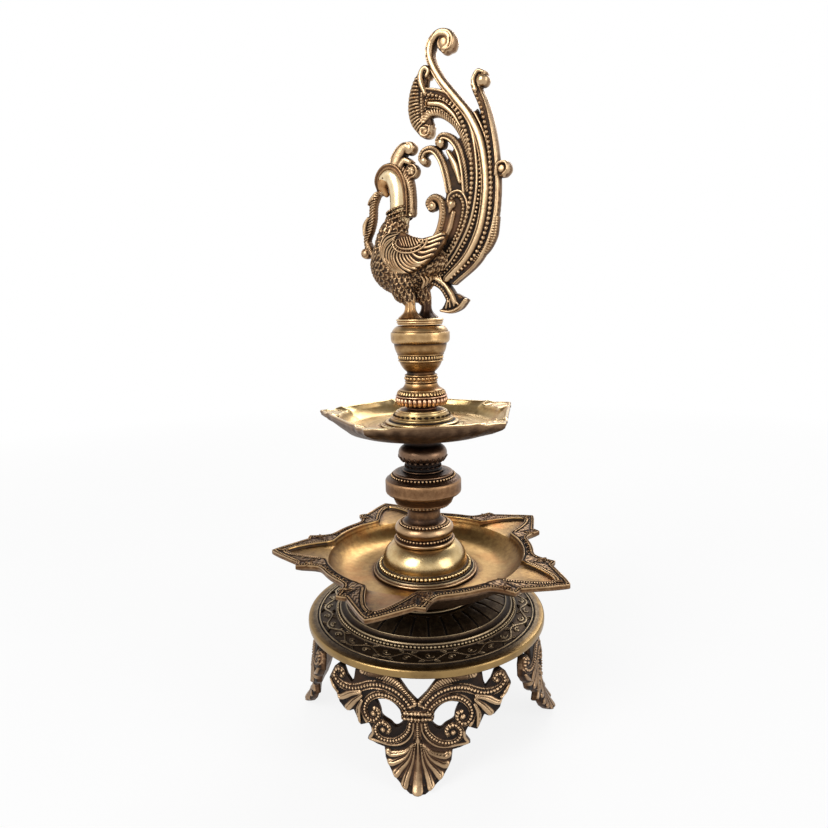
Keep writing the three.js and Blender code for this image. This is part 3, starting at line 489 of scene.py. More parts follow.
# Painted shade: a darker copy of the stem brass for the knop's top and the ball under the tray, and for the
# far shin; the bird's eyes use it too
SHADED = cast_metal(
    "shaded_brass", "antique_brass", dark=(0.009, 0.006, 0.005), low=(0.03, 0.017, 0.012),
    middle=(0.055, 0.029, 0.019), bright=(0.22, 0.13, 0.078), stain=(0.04, 0.02, 0.014), depth=0.5,
    polish=(0.55, 0.34))
COPPERY = cast_metal(
    "copper_toned_brass", "copper_toned_brass", dark=(0.018, 0.008, 0.005), low=(0.12, 0.05, 0.028),
    middle=(0.34, 0.16, 0.085), bright=(0.70, 0.44, 0.27), stain=(0.36, 0.14, 0.065), depth=0.55)
PALE = cast_metal(
    "pale_brass", "pale_brass", dark=(0.026, 0.015, 0.008), low=(0.17, 0.095, 0.04),
    middle=(0.47, 0.31, 0.125), bright=(0.72, 0.54, 0.28), stain=(0.42, 0.16, 0.04), wear=0.1, depth=0.4,
    polish=(0.5, 0.22), grain=0.35)
DARK = cast_metal(
    "dark_brass", "dark_brass", dark=(0.009, 0.006, 0.005), low=(0.038, 0.024, 0.016),
    middle=(0.10, 0.066, 0.038), bright=(0.36, 0.27, 0.16), stain=(0.055, 0.034, 0.02), wear=-0.05,
    depth=0.6, polish=(0.6, 0.36))
RIM = cast_metal(
    "rim_brass", "dark_brass", dark=(0.02, 0.013, 0.007), low=(0.07, 0.046, 0.022),
    middle=(0.10, 0.056, 0.023), bright=(0.32, 0.205, 0.082), stain=(0.065, 0.034, 0.016), depth=0.55,
    polish=(0.55, 0.34), grain=0.8)
NECK = cast_metal(
    "neck_brass", "antique_brass", dark=(0.05, 0.028, 0.014), low=(0.26, 0.16, 0.07),
    middle=(0.66, 0.50, 0.28), bright=(0.88, 0.74, 0.50), stain=(0.58, 0.36, 0.14), wear=0.12, depth=0.35,
    polish=(0.5, 0.26), grain=0.5)
SHANK = cast_metal(
    "shank_brass", "antique_brass", dark=(0.03, 0.014, 0.006), low=(0.16, 0.075, 0.03),
    middle=(0.42, 0.22, 0.09), bright=(0.70, 0.50, 0.26), stain=(0.40, 0.15, 0.045), wear=0.02, depth=0.4,
    polish=(0.5, 0.28), grain=0.6)
BOWL = cast_metal(
    "bowl_brass", "pale_brass", dark=(0.02, 0.011, 0.006), low=(0.12, 0.058, 0.02),
    middle=(0.31, 0.18, 0.06), bright=(0.57, 0.375, 0.145), stain=(0.38, 0.125, 0.022), wear=0.02,
    depth=0.6, polish=(0.48, 0.2), grain=0.35)
URN = cast_metal(
    "urn_brass", "antique_brass", dark=(0.016, 0.009, 0.005), low=(0.10, 0.052, 0.022),
    middle=(0.26, 0.144, 0.057), bright=(0.54, 0.35, 0.165), stain=(0.31, 0.13, 0.036), depth=0.5,
    polish=(0.52, 0.26), grain=0.7)
LEG = cast_metal(
    "leg_brass", "antique_brass", dark=(0.009, 0.006, 0.005), low=(0.036, 0.021, 0.014),
    middle=(0.125, 0.07, 0.038), bright=(0.47, 0.32, 0.185), stain=(0.10, 0.048, 0.025), depth=0.55,
    wear=-0.02)
# Painted shade: a darker copy of the leg brass, for the side legs
SHADED_SIDE_LEG = cast_metal(
    "shaded_side_leg_brass", "antique_brass", dark=(0.009, 0.006, 0.005), low=(0.028, 0.016, 0.01),
    middle=(0.09, 0.048, 0.026), bright=(0.34, 0.22, 0.125), stain=(0.07, 0.032, 0.018), depth=0.55,
    wear=-0.05)
BORDER = cast_metal(
    "border_brass", "pale_brass", dark=(0.012, 0.008, 0.006), low=(0.06, 0.034, 0.02),
    middle=(0.125, 0.062, 0.028), bright=(0.45, 0.29, 0.15), stain=(0.10, 0.04, 0.018), depth=0.55)
# Painted shade: a darker look for the outsides and undersides of the basin and tray, where shade falls
UNDERSIDE = cast_metal(
    "underside_brass", "pale_brass", dark=(0.014, 0.009, 0.007), low=(0.035, 0.02, 0.013),
    middle=(0.10, 0.058, 0.034), bright=(0.26, 0.16, 0.09), stain=(0.06, 0.033, 0.02), depth=0.4,
    polish=(0.6, 0.42))
STEEL = fastener_metal()


# Stem

def stem_shell(node_name, outside, bore=5.6, sides=SIDES, **settings):
    """A turned ring whose outside is [radius, height over its foot]."""
    base = foot(node_name)
    outside = [(r, base + z) for r, z in outside]
    shell = Shell()
    section = [(bore, outside[0][1]), *outside, (bore, outside[-1][1])]
    turned(shell, section, sides, **settings)
    return shell, base


def add_bell():
    outside = [
        (38.8, 0), *arc((39.6, 0), (39.7, 1.8), 0.5, 5), (38.5, 1.9), (38.4, 2.6),
        *arc((38.2, 2.7), (37.2, 3.3), 0.3, 3), (36.9, 2.9), (36.2, 3.0), (36.0, 3.9), (35.6, 4.1),
        (33.4, 4.5), (33.2, 5.7), *arc((33.5, 5.8), (33, 6.9), 0.3, 3),
        *arc((32.6, 7.1), (22, 23.2), 3.0, 18),
    ]
    low = foot("bell")

    def kind_of(radius, height):
        return np.where(height < low + 7.0, np.where(height > low + 2.6, 2, 1), 0)

    shell, base = stem_shell("bell", outside, bore=10.4, kind_of=kind_of)
    ring_of(shell, round_form(2.9, 2.9, 3.2), 34.5, base + 5.2, 3.0, lean=60)
    shell.piece("bell_turned", [PALE, STEM, DARK], "lower_stem", "bell")


def add_spool():
    outside = [
        (22.2, 0), *arc((22.9, 0.1), (22.9, 2.4), 0.6, 6), (21.4, 2.7), (20.5, 3.1), (20.4, 5.5),
        (21.0, 6.0), *arc((21.4, 6.1), (20.6, 13.8), 1.6, 12), (19.6, 14.1), (19.2, 13.7), (17.0, 14.2),
        (16.7, 15.5), *arc((16.2, 15.7), (12.6, 19.0), -0.8, 6), (12.5, 25.6),
        *arc((12.7, 26.1), (14.9, 27.6), -0.5, 4),
    ]
    shell, base = stem_shell("neck_spool", outside)
    ring_of(shell, round_form(2.3, 2.4, 2.4), 20.7, base + 4.35, 2.6)
    ring_of(shell, round_form(2.2, 2.3, 2.4), 18.1, base + 14.5, 2.5, lean=55)
    shell.piece("neck_spool_turned", STEM, "lower_stem", "neck_spool")


def add_knop():
    outside = [
        (16.4, 0), *arc((17.1, 0.1), (17.3, 1.4), 0.4, 4), (17.4, 1.6), (19.2, 2.5), (20.9, 2.6),
        *arc((21.3, 2.8), (21.8, 3.8), 0.3, 3), *arc((22.2, 4.2), (27.6, 10.4), -1.0, 8), (28.5, 11.2),
        (28.8, 12.0), (28.8, 20.2), (28.2, 21.3), *arc((27.6, 21.6), (24.6, 23.4), 0.25, 4), (22.7, 23.3),
        (22.6, 24.8), *arc((22.7, 25.1), (22.4, 26.4), 0.3, 4), (21.6, 26.9), (15.6, 27.0),
    ]
    low = foot("knop")

    def kind_of(radius, height):
        satin = (radius > 28.3) | (radius > 22) & (height < low + 11.5)
        # The knop's top under the tray takes the shaded look: painted shade
        return np.where(satin, 1, np.where(height > low + 21.0, 2, 0))

    shell, base = stem_shell("knop", outside, kind_of=kind_of)
    ring_of(shell, round_form(2.2, 2.4, 2.6), 18.9, base + 1.9, 2.6, lean=-35)
    ring_of(shell, round_form(1.9, 2.4, 2.6), 23.4, base + 23.9, 2.7, lean=45)
    shell.piece("knop_turned", [STEM, SATIN, SHADED], "lower_stem", "knop")


def add_ball():
    outside = [
        (15.4, 0), (15.6, 0.8), (13.4, 1.3), (13.0, 1.9), (13.0, 5.6),
        *arc((13.6, 5.8), (13.4, 6.7), 0.3, 3), *arc((14.4, 7.4), (17.6, 10.4), 0.5, 5),
        *arc((17.7, 10.5), (15.6, 18.6), 1.6, 12), *arc((14.2, 19.6), (12.6, 21.6), -0.4, 4),
        (12.6, 26.4), (15.6, 30.1),
    ]
    shell, base = stem_shell("ball", outside)
    ring_of(shell, drop_form(4.0, 3.0, 1.0), 13.0, base + 3.7, 4.3)
    ring_of(shell, drop_form(5.4, 3.8, 0.9), 16.9, base + 9.9, 4.4, lean=-34, upright=True)
    # The whole ball takes the shaded look: painted shade from the tray above
    shell.piece("ball_turned", SHADED, "lower_stem", "ball")


def add_collar():
    outside = [
        (30.4, 0), *arc((30.9, 0.1), (30.9, 0.9), 0.2, 3), *arc((30.4, 1.2), (28.0, 1.6), 0.1, 3),
        (27.6, 1.5), *arc((27.2, 1.7), (26.9, 3.3), 0.6, 6), (25.4, 3.5), (25.0, 3.3), (23.9, 3.7),
        (23.5, 4.5), *arc((23.2, 4.6), (22.6, 5.6), 0.4, 4), (22.0, 5.6), (19.4, 9.3),
        *arc((19.3, 9.6), (18.4, 10.4), 0.4, 4), (17.8, 10.3), *arc((17.7, 10.6), (16.8, 11.5), 0.3, 4),
    ]

    def kind_of(radius, height):
        return np.where(np.abs(radius - 24.4) < 0.8, 1, 0)

    shell, base = stem_shell("tray_collar", outside, kind_of=kind_of)
    ring_of(shell, drop_form(3.8, 2.3, 0.9), 20.7, base + 7.5, 4.7, lean=40, kind=1)
    ring_of(shell, round_form(0.7, 2.2, 1.0, 0.8), 29.1, base + 1.35, 5.2, lean=83, kind=1)
    shell.piece("tray_collar_turned", [PALE, DARK], "lower_stem", "tray_collar")


def add_bulb():
    outside = [
        (11.4, 0), (11.1, 1.2), *arc((12.6, 2.4), (17.4, 4.4), 0.5, 6), (17.6, 8.6), (18.9, 9.2),
        *arc((19.1, 9.3), (18.9, 10.1), 0.2, 3), (18.2, 10.3), (17.6, 10.6), (16.0, 13.5),
        *arc((16.2, 13.8), (15.4, 14.6), 0.3, 4), *arc((15.0, 14.7), (12.4, 17.7), -0.3, 4), (12.0, 19.0),
    ]
    low = foot("bulb")

    def kind_of(radius, height):
        return np.where(height > low + 10.4, 1, 0)

    shell, base = stem_shell("bulb", outside, bore=8.6, kind_of=kind_of)
    ring_of(shell, round_form(6.6, 3.2, 4.2, 0.85, 12, 8), 17.3, base + 5.9, 3.4, lean=-12, upright=True)
    ring_of(shell, round_form(3.4, 2.0, 1.7, 0.7), 17.1, base + 12.1, 2.6, lean=30, upright=True, kind=1)
    shell.piece("bulb_turned", [COPPERY, URN], "upper_stem", "bulb")


def add_urn():
    outside = [
        (11.6, 0), *arc((12.0, 0.2), (12.1, 1.1), 0.2, 3), (11.5, 1.4), (11.4, 4.7),
        *arc((12.0, 4.9), (11.8, 5.8), 0.3, 3), (10.6, 6.3), (10.3, 7.3),
        *arc((10.5, 7.9), (15.6, 15.2), 0.7, 8), *arc((16.0, 15.5), (16.4, 16.7), 0.5, 5), (15.9, 17.0),
        (16.1, 19.9), *arc((16.9, 20.1), (17.1, 20.9), 0.3, 3), *arc((17.2, 21.2), (19.3, 28.2), 0.5, 8),
        (19.4, 28.5), (20.3, 28.9), (21.1, 29.8), (21.6, 31.0), (21.7, 36.3), (21.3, 36.9), (20.7, 36.8),
        (20.5, 37.3), *arc((20.6, 37.5), (17.4, 41.0), 0.3, 5), (16.4, 41.3),
    ]
    shell, base = stem_shell("urn", outside)
    ring_of(shell, round_form(2.7, 2.7, 2.4, 0.85), 11.3, base + 3.1, 3.1)
    ring_of(shell, round_form(2.6, 1.6, 1.7, 0.7), 15.9, base + 18.5, 2.2, upright=True)
    shell.piece("urn_turned", URN, "upper_stem", "urn")


def add_pedestal():
    outside = [
        (39, 0), *arc((39.2, 0.2), (38.8, 1.9), 0.6, 5), (36.2, 2.3), (35.6, 3.4),
        *arc((35.2, 3.6), (31.2, 8), -0.8, 6), (32.0, 9.4), *arc((33.8, 10.0), (35.2, 12.4), 0.3, 4),
    ]
    shell, base = stem_shell("pedestal_ring", outside, bore=6.6, sides=SIDES)
    ring_of(shell, round_form(1.9, 1.9, 1.9), 36.6, base + 3.0, 2.2, lean=50)
    shell.piece("pedestal_ring_turned", DARK, "base", "pedestal_ring")


def add_fasteners():
    """The solids of the studs, bushes, nut, washer and screws stay as they are, in steel."""
    for name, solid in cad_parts.items():
        if any(word in name for word in ("stud", "bush", "rod", "nut", "washer", "screw")):
            solid.data.materials.clear()
            solid.data.materials.append(STEEL)


# Stand

def reeded(angle, radius, height):
    """Reeds of the dome, each with a fine groove on both sides."""
    phase = (angle * DISC_REEDS / (2 * math.pi)) % 1 - 0.5
    from_groove = (0.5 - np.abs(phase)) * 2 * math.pi * radius / DISC_REEDS
    groove = np.exp(-(from_groove / 0.8) ** 2)
    ridge = np.exp(-((from_groove - 1.25) / 0.5) ** 2)
    on_dome = (radius > 42.6) & (radius < 61.4) & (height > head("stand_disc") - 7)
    push = np.where(on_dome, 0.15 * ridge - 0.9 * groove, 0)
    tone = np.where(on_dome, 0.35 * ridge - 1.3 * groove, 0.0)
    return push, tone


def wire_through(shell, places, out, width, high, closed=True, kind=0):
    """Low rounded ridge along places, standing out of the surface under it."""
    places, out = np.asarray(places, float), np.asarray(out, float)
    way = np.roll(places, -1, 0) - np.roll(places, 1, 0)
    if not closed:
        way[0], way[-1] = places[1] - places[0], places[-1] - places[-2]
    side = np.cross(out, way)
    side /= np.linalg.norm(side, axis=1)[:, None]
    width = np.broadcast_to(width, len(places))[:, None]
    section = ((-1, -0.5), (-1, 0.1), (-0.72, 0.7), (0, 1), (0.72, 0.7), (1, 0.1), (1, -0.5))
    rings = np.stack([places + side * width * across / 2 + out * high * rise for across, rise in section], 1)
    tone = np.tile([-0.8, -0.4, 0.5, 1.0, 0.5, -0.4, -0.8], len(places))
    shell.add(rings, grid_faces(len(places), len(section), wrap_rows=closed), tone, kind)
    if closed:
        return
    for end in (rings[0, ::-1], rings[-1]):
        shell.add(end, [[0, 1, 5, 6], [1, 2, 4, 5]], tone[:7], kind)
        shell.add(end, [[2, 3, 4]], tone[:7], kind)


def add_vine(shell, surface):
    """Running vine: a waving stem, and in each bay a curled leaf with a bud."""
    up = np.array([0, 0, 1])
    angle = np.linspace(0, 2 * math.pi, VINE_WAVES * 40, endpoint=False)
    radius = VINE_RADIUS + 3.1 * np.sin(angle * VINE_WAVES)
    places = np.stack([radius * np.cos(angle), radius * np.sin(angle), surface(radius)], -1)
    wire_through(shell, places, np.tile(up, (len(places), 1)), 1.6, 0.65)
    for k in range(2 * VINE_WAVES):
        inward = 1 if k % 2 == 0 else -1
        middle = (k + 0.5) * math.pi / VINE_WAVES
        turn = np.linspace(0, 1, 26)
        curl = 3.6 * (1 - 0.72 * turn)
        swing = math.pi * (0.15 + 1.45 * turn)
        a = middle + curl * np.cos(swing) / VINE_RADIUS
        r = VINE_RADIUS - inward * (1.7 - curl * np.sin(swing) * 0.75)
        places = np.stack([r * np.cos(a), r * np.sin(a), surface(r)], -1)
        wire_through(shell, places, np.tile(up, (len(places), 1)), 2.0 * (1 - 0.4 * turn), 0.65,
                     closed=False)
        ways = np.array([[-math.sin(middle), math.cos(middle), 0]])
        bud_radius = VINE_RADIUS - inward * 1.1
        bud = np.array([[bud_radius * math.cos(middle), bud_radius * math.sin(middle),
                         surface(bud_radius)]])
        set_along(shell, round_form(1.7, 1.5, 1.5), bud, ways, up[None])
        for side in (-1, 1):
            a = middle + side * 0.064
            r = VINE_RADIUS + inward * 4.2
            place = np.array([[r * math.cos(a), r * math.sin(a), surface(r) - 0.1]])
            along = np.array([[-math.sin(a), math.cos(a), 0]])
            outward = np.array([[math.cos(a), math.sin(a), 0]])
            way = along * side + 0.5 * inward * outward
            set_along(shell, drop_form(5.4, 3.2, 0.9, 10), place, -way, up[None])


def add_disc():
    low = foot("stand_disc")
    rim = low + 6.0
    top = head("stand_disc")
    section = [
        (6.6, top - 6.8), (14, top - 6.8), (16, top - 4.4), (42, top - 4.4), (61, top - 9.2), (67.6, low),
        (90.6, low), *arc((91.2, low + 0.7), (91.2, rim - 0.9), 0.2, 4), (90.5, rim - 0.15),
        (84.6, rim + 0.2), (84.0, rim - 0.5), (83.6, rim - 0.5),
        *arc((83.3, rim + 0.3), (82.2, rim + 0.4), 0.25, 3), (81.9, rim - 0.1), (70.6, rim + 1.7),
        *arc((70.3, rim + 2.4), (69.4, rim + 2.6), 0.2, 3), (69.2, rim + 2.2), (67.5, rim + 3.0),
        (67.2, rim + 4.4), *arc((67.0, rim + 4.7), (66.0, rim + 5.2), 0.3, 4),
        *arc((65.6, rim + 5.0), (62.8, rim + 6.4), -0.4, 4),
        *arc((62.6, rim + 7.0), (61.9, rim + 7.6), 0.3, 3), (61.4, rim + 7.0),
        *arc((61.0, rim + 7.3), (42.6, top - 0.2), 1.0, 14), (42.3, top), (6.6, top),
    ]
    shell = Shell()

    def kind_of(radius, height):
        return np.where((radius > 88.4) & (height < rim + 0.5), 1, 0)

    turned(shell, section, 10 * DISC_REEDS, step=1.4, ripple=reeded, kind_of=kind_of)
    ring_of(shell, round_form(2.5, 2.5, 3.0), 68.2, rim + 2.9, 2.75, lean=58)
    shell.piece("stand_disc_cast", [DARK, RIM], "base", "stand_disc")
    shell = Shell()

    def surface(radius):
        return rim - 0.1 + (81.9 - radius) * 1.8 / 11.3

    add_vine(shell, surface)
    shell.piece("stand_disc_vine", DARK, "base")


# Basin

SPOUT_SIDE = [(0, 118.85), (0.6, 118.1), (3.5, 113.2), (7.3, 106.8), (11.4, 101), (14, 97.8)]
EAR_TIP = (18, 99.4)
EAR_BACK = [EAR_TIP, (19.3, 93.2), (21, 88), (23.4, 84.3), (27, 83)]
LIP_KEYS = [(0, 108), (1.2, 106.6), (3.5, 102.2), (7.3, 92), (11.4, 80.5), (14, 76.4), (16, 76), (36, 76)]


def polar(offset, radius):
    """Place of an angle in degrees and a radius."""
    a = math.radians(offset)
    return radius * math.cos(a), radius * math.sin(a)


def by_angle(points, steps):
    """Steps along a curve of [x, y] points, as (degrees, radius)."""
    path = smooth_path(points, 0.1)
    lengths = np.concatenate([[0], np.cumsum(np.hypot(*np.diff(path, axis=0).T))])
    even = np.linspace(0, lengths[-1], steps + 1)
    x, y = np.interp(even, lengths, path[:, 0]), np.interp(even, lengths, path[:, 1])
    return list(zip(np.degrees(np.arctan2(y, x)), np.hypot(x, y)))


def mirrored_sectors(half, count, turn):
    """Angles in radians and radii of a whole outline, from one half of a sector, off its middle."""
    half = np.array(half)
    back = half[1:-1][::-1] * (-1, 1)
    sector = np.vstack([back, half])
    degrees = np.concatenate([sector[:, 0] + turn + 360 / count * k for k in range(count)])
    return np.radians(degrees), np.tile(sector[:, 1], count), np.tile(np.abs(sector[:, 0]), count)


def to_outline(points, outline):
    """Distance of each point from an outline, in one plane."""
    shape = points.shape[:-1]
    flat = points.reshape(-1, 2)
    a, b = outline, np.roll(outline, -1, 0)
    way = b - a
    squared = np.maximum((way ** 2).sum(1), 1e-12)
    nearest = np.empty(len(flat))
    for first in range(0, len(flat), 1500):
        part = flat[first:first + 1500]
        t = np.clip(((part[:, None] - a) * way).sum(-1) / squared, 0, 1)
        gap = part[:, None] - (a + t[..., None] * way)
        nearest[first:first + 1500] = np.sqrt((gap ** 2).sum(-1).min(1))
    return nearest.reshape(shape)


def bump(value, centre, width):
    """Smooth hill of height 1 about a centre."""
    return np.exp(-((value - centre) / width) ** 2)


def inset_path(outline, depth):
    """The outline moved inwards by a depth, where it runs anticlockwise, without its crossings."""
    tangent = np.roll(outline, -1, 0) - np.roll(outline, 1, 0)
    normal = np.stack([-tangent[:, 1], tangent[:, 0]], 1)
    normal /= np.hypot(normal[:, 0], normal[:, 1])[:, None]
    moved = outline + normal * depth
    return moved[to_outline(moved, outline) > abs(depth) - 0.04]


def evenly(path, pitch, closed=True):
    """Places at an even pitch along a path, and the way it runs there."""
    ends = np.vstack([path, path[:1]]) if closed else path
    lengths = np.concatenate([[0], np.cumsum(np.linalg.norm(np.diff(ends, axis=0), axis=1))])
    count = max(2, round(lengths[-1] / pitch))
    even = np.linspace(0, lengths[-1], count + (0 if closed else 1), endpoint=not closed)
    places = np.stack([np.interp(even, lengths, ends[:, k]) for k in range(ends.shape[1])], 1)
    ahead = np.stack([np.interp(even + 0.2, lengths, ends[:, k]) for k in range(ends.shape[1])], 1)
    behind = np.stack([np.interp(even - 0.2, lengths, ends[:, k]) for k in range(ends.shape[1])], 1)
    return places, ahead - behind


def laid_along(shell, form, path, height, pitch, closed=True, turn=0.0, kind=0):
    """Small forms on a flat place, at an even pitch along a path of [x, y] points."""
    places, ways = evenly(path, pitch, closed)
    a = math.radians(turn)
    ways = ways @ np.array([[math.cos(a), math.sin(a)], [-math.sin(a), math.cos(a)]])
    flat = np.full((len(places), 1), height)
    set_along(shell, form, np.hstack([places, flat]), np.hstack([ways, 0 * flat]),
              np.tile([0, 0, 1], (len(places), 1)), kind)


def dish_grid(shell, angle, columns, closed=True):
    """Polar grid of a dish. Each column is (radii, heights, relief, kind of the faces that follow)."""
    radius = np.stack([np.broadcast_to(c[0], angle.shape) for c in columns], 1)
    height = np.stack([np.broadcast_to(c[1], angle.shape) for c in columns], 1)
    relief = np.stack([np.broadcast_to(c[2], angle.shape) for c in columns], 1)
    points = np.stack([radius * np.cos(angle)[:, None], radius * np.sin(angle)[:, None], height], -1)
    faces = grid_faces(len(angle), len(columns), wrap_columns=closed)
    per_row = len(columns) if closed else len(columns) - 1
    kinds = np.tile([c[3] for c in columns[:per_row]], len(angle))
    shell.add(points, faces, relief.ravel(), kinds)


def basin_half():
    half = by_angle([polar(*key) for key in SPOUT_SIDE], 54)
    half += by_angle([polar(*SPOUT_SIDE[-1]), polar(16, 98.9), polar(*EAR_TIP)], 10)[1:]
    half += by_angle([polar(*key) for key in EAR_BACK], 38)[1:]
    half += [(a, 83.0) for a in np.linspace(27, 36, 31)[1:]]
    return half


def border_rise(from_edge, from_lip, offset, radius):
    """Height and relief of the engraved border. offset is the degrees from a spout's middle."""
    beside_spout = np.clip((17.0 - offset) / 1.5, 0, 1) * np.clip((radius - 80) / 2, 0, 1)
    line = bump(from_lip, 1.05, 0.5) + beside_spout * bump(from_lip, 3.3, 0.5)
    channel = bump(from_edge, 2.0, 1.2)
    ear = radius > 84.4
    from_slash = (offset - 14.6) * radius * math.pi / 180
    slash = bump(from_slash, 0, 0.65) * (from_edge > 3) * (from_lip > 3.4) * (radius > 84)
    from_fold = (offset - 22.6) * radius * math.pi / 180
    fold = bump(from_fold, 0, 0.65) * (from_edge > 2.6) * (from_lip > 1.6)
    wave = np.abs((offset - 27.0) / 3.0 % 2 - 1)
    zigzag = bump(from_lip - 1.9 - 1.9 * wave, 0, 0.5) * (offset > 23.4) * (from_lip < 4.6)
    from_dot = np.abs((offset - 27.0) / 1.5 % 2 - 1)
    dots = bump(from_dot, 0, 0.3) * bump(from_lip, 2.6, 0.4) * (offset > 24) * ~ear
    field = np.clip((from_edge - 3.3) / 0.4, 0, 1) * np.clip((from_lip - 1.8) / 0.4, 0, 1)
    along = offset * math.pi / 180 * 92
    veins = field * bump(np.cos(VEIN_TURNS * along + 1.3 * np.sin(1.9 * from_edge)), -1, 0.5)
    cut = np.clip(line + channel + slash + fold + zigzag + 0.6 * dots + 0.38 * veins, 0, 1)
    raised = bump(from_edge, 0.3, 0.4) + bump(from_lip, 0.3, 0.35)
    return 0.3 * raised - 0.9 * cut, np.clip(0.3 + 0.9 * raised - 2.8 * cut, -1, 1)


def add_basin():
    base, rim = foot("spouted_basin"), head("spouted_basin") - 0.35
    floor = base + 5.4
    angle, edge, offset = mirrored_sectors(basin_half(), SPOUTS, SPOUT_TURN)
    keys, reaches = zip(*LIP_KEYS)
    lip = np.interp(offset, keys, reaches)
    around = np.stack([np.cos(angle), np.sin(angle)], -1)
    edge_line, lip_line = around * edge[:, None], around * lip[:, None]
    spout = np.clip((lip - 76.5) / 6, 0, 1)
    under_spout = np.clip((edge - 84) / 8, 0, 1)

    columns = [
        (10.4, base, -0.2, 2), (34, base, -0.2, 2), (55.2, base, 0.1, 2), (57.2, base + 0.35, 0.3, 2),
        (61.5, base + 2.1, 0, 2), (66, base + 4.6, 0, 2), (70.8, base + 8.0, 0, 2),
        (74.6, base + 11.6, 0, 2), (77.2, base + 14.4 + 0.8 * under_spout, 0, 2),
        (0.6 * 77.2 + 0.4 * edge, rim - 6.6, 0.1, 2), (0.2 * 77.2 + 0.8 * edge, rim - 4.7, 0.1, 2),
        (edge - 0.9, rim - 3.5, 0.2, 2), (edge - 0.15, rim - 3.05, 0.7, 2), (edge, rim - 2.4, 0.2, 0),
        (edge, rim - 1.2, -0.1, 0), (edge - 0.1, rim - 0.35, 0.7, 0),
    ]
    for k in range(BORDER_STEPS + 1):
        share = 0.004 + 0.992 * k / BORDER_STEPS
        radius = edge * (1 - share) + lip * share
        places = around * radius[:, None]
        rise, tone = border_rise(to_outline(places, edge_line), to_outline(places, lip_line), offset,
                                 radius)
        columns.append((radius, rim + rise, tone, 0))
    start = lip - 1.5
    end = np.minimum(start - 0.2, 74.4)
    columns += [
        (lip - 0.25, rim - 0.15, 0.6, 1), (lip - 0.6, rim - 1.0, -0.8, 1),
        (lip - 1.0, rim - 1.8 - 0.9 * (1 - spout), -0.3 - 0.7 * spout, 1),
    ]
    for t in np.linspace(0, 1, 7):
        start_depth = 2.35 * spout + 3.6 * (1 - spout)
        columns.append((start * (1 - t) + end * t, rim - start_depth * (1 - t) - 4.6 * t,
                        (-0.35 * (1 - t) - 0.05) * spout - 0.3 * (1 - spout), 1))
    bowl = smooth_path([(74.4, rim - 4.6), (73.2, rim - 7.4), (70.2, rim - 10.6), (65, rim - 14.2),
                        (59, floor + 1.1), (52, floor + 0.2), (46, floor)],
                       2.2)[1:]
    columns += [(r, z, -0.35 * np.clip((r - 62) / 12, 0, 1), 1) for r, z in bowl]
    columns += [(40.6, floor, -0.4, 1), (24, floor, 0, 1), (10.4, floor, 0, 1)]
    shell = Shell()
    dish_grid(shell, angle, columns)
    shell.piece("basin_cast", [BORDER, BOWL, UNDERSIDE], "base", "spouted_basin")
    add_basin_ornament(edge_line, lip_line, rim)


def add_basin_ornament(edge_line, lip_line, rim):
    """Beads along the edge, hatching beside the channels, flowers on the ears."""
    shell = Shell()
    laid_along(shell, round_form(1.5, 1.5, 1.7, 1.0, 8, 6), inset_path(edge_line, 1.95), rim - 0.25, 1.95)
    block = round_form(0.95, 1.9, 1.3, 0.75, 8, 6)
    petal = drop_form(4.4, 2.9, 0.75, 12)
    channel = inset_path(lip_line, -2.2)
    for k in range(SPOUTS):
        at_spout = math.radians(SPOUT_TURN + 360 / SPOUTS * k)
        middle = np.array([math.cos(at_spout), math.sin(at_spout)])
        side = np.array([-middle[1], middle[0]])
        local = np.stack([channel @ middle, channel @ side], -1)
        for sign in (-1, 1):
            chosen = (local[:, 0] > 79) & (local[:, 0] < 109) & (local[:, 1] * sign > 0.8)
            run = channel[chosen]
            run = run[np.argsort(run @ middle)]
            laid_along(shell, block, run, rim - 0.25, 1.75, closed=False)
            a = math.radians(18.2)
            ear = middle * 89.4 * math.cos(a) + sign * side * 89.4 * math.sin(a)
            out = ear / np.linalg.norm(ear)
            across = np.array([-out[1], out[0]])
            for way in (out + across, out - across, -out + across, -out - across):
                way = way / math.sqrt(2)
                set_along(shell, petal, [[*(ear - way * 2.5), rim - 0.1]], [[*way, 0]], [[0, 0, 1]])
            set_along(shell, round_form(1.8, 1.8, 2.2), [[*ear, rim]], [[*out, 0]], [[0, 0, 1]])
        set_along(shell, drop_form(7.2, 4.2, 0.8), [[*(middle * 110.6), rim - 0.1]], [[*-middle, 0]],
                  [[0, 0, 1]])
    for k in range(SPOUTS):
        for step in range(-3, 4):
            a = math.radians(SPOUT_TURN + 36 + 72 * k + 3.0 * step)
            out = np.array([math.cos(a), math.sin(a)])
            far = 79.3 if step % 2 else 80.2
            set_along(shell, drop_form(2.2, 1.9, 0.7, 8), [[*(out * far), rim - 0.1]],
                      [[*(out if step % 2 else -out), 0]], [[0, 0, 1]])
    shell.piece("basin_border_ornament", BORDER, "base")


# Tray

TRAY_KEYS = [(0, 79.5), (0.9, 78.6), (3, 76.3), (8, 73.4), (12, 70.4), (14, 69.2), (20, 67.2), (28, 65.1),
             (36, 64.5)]


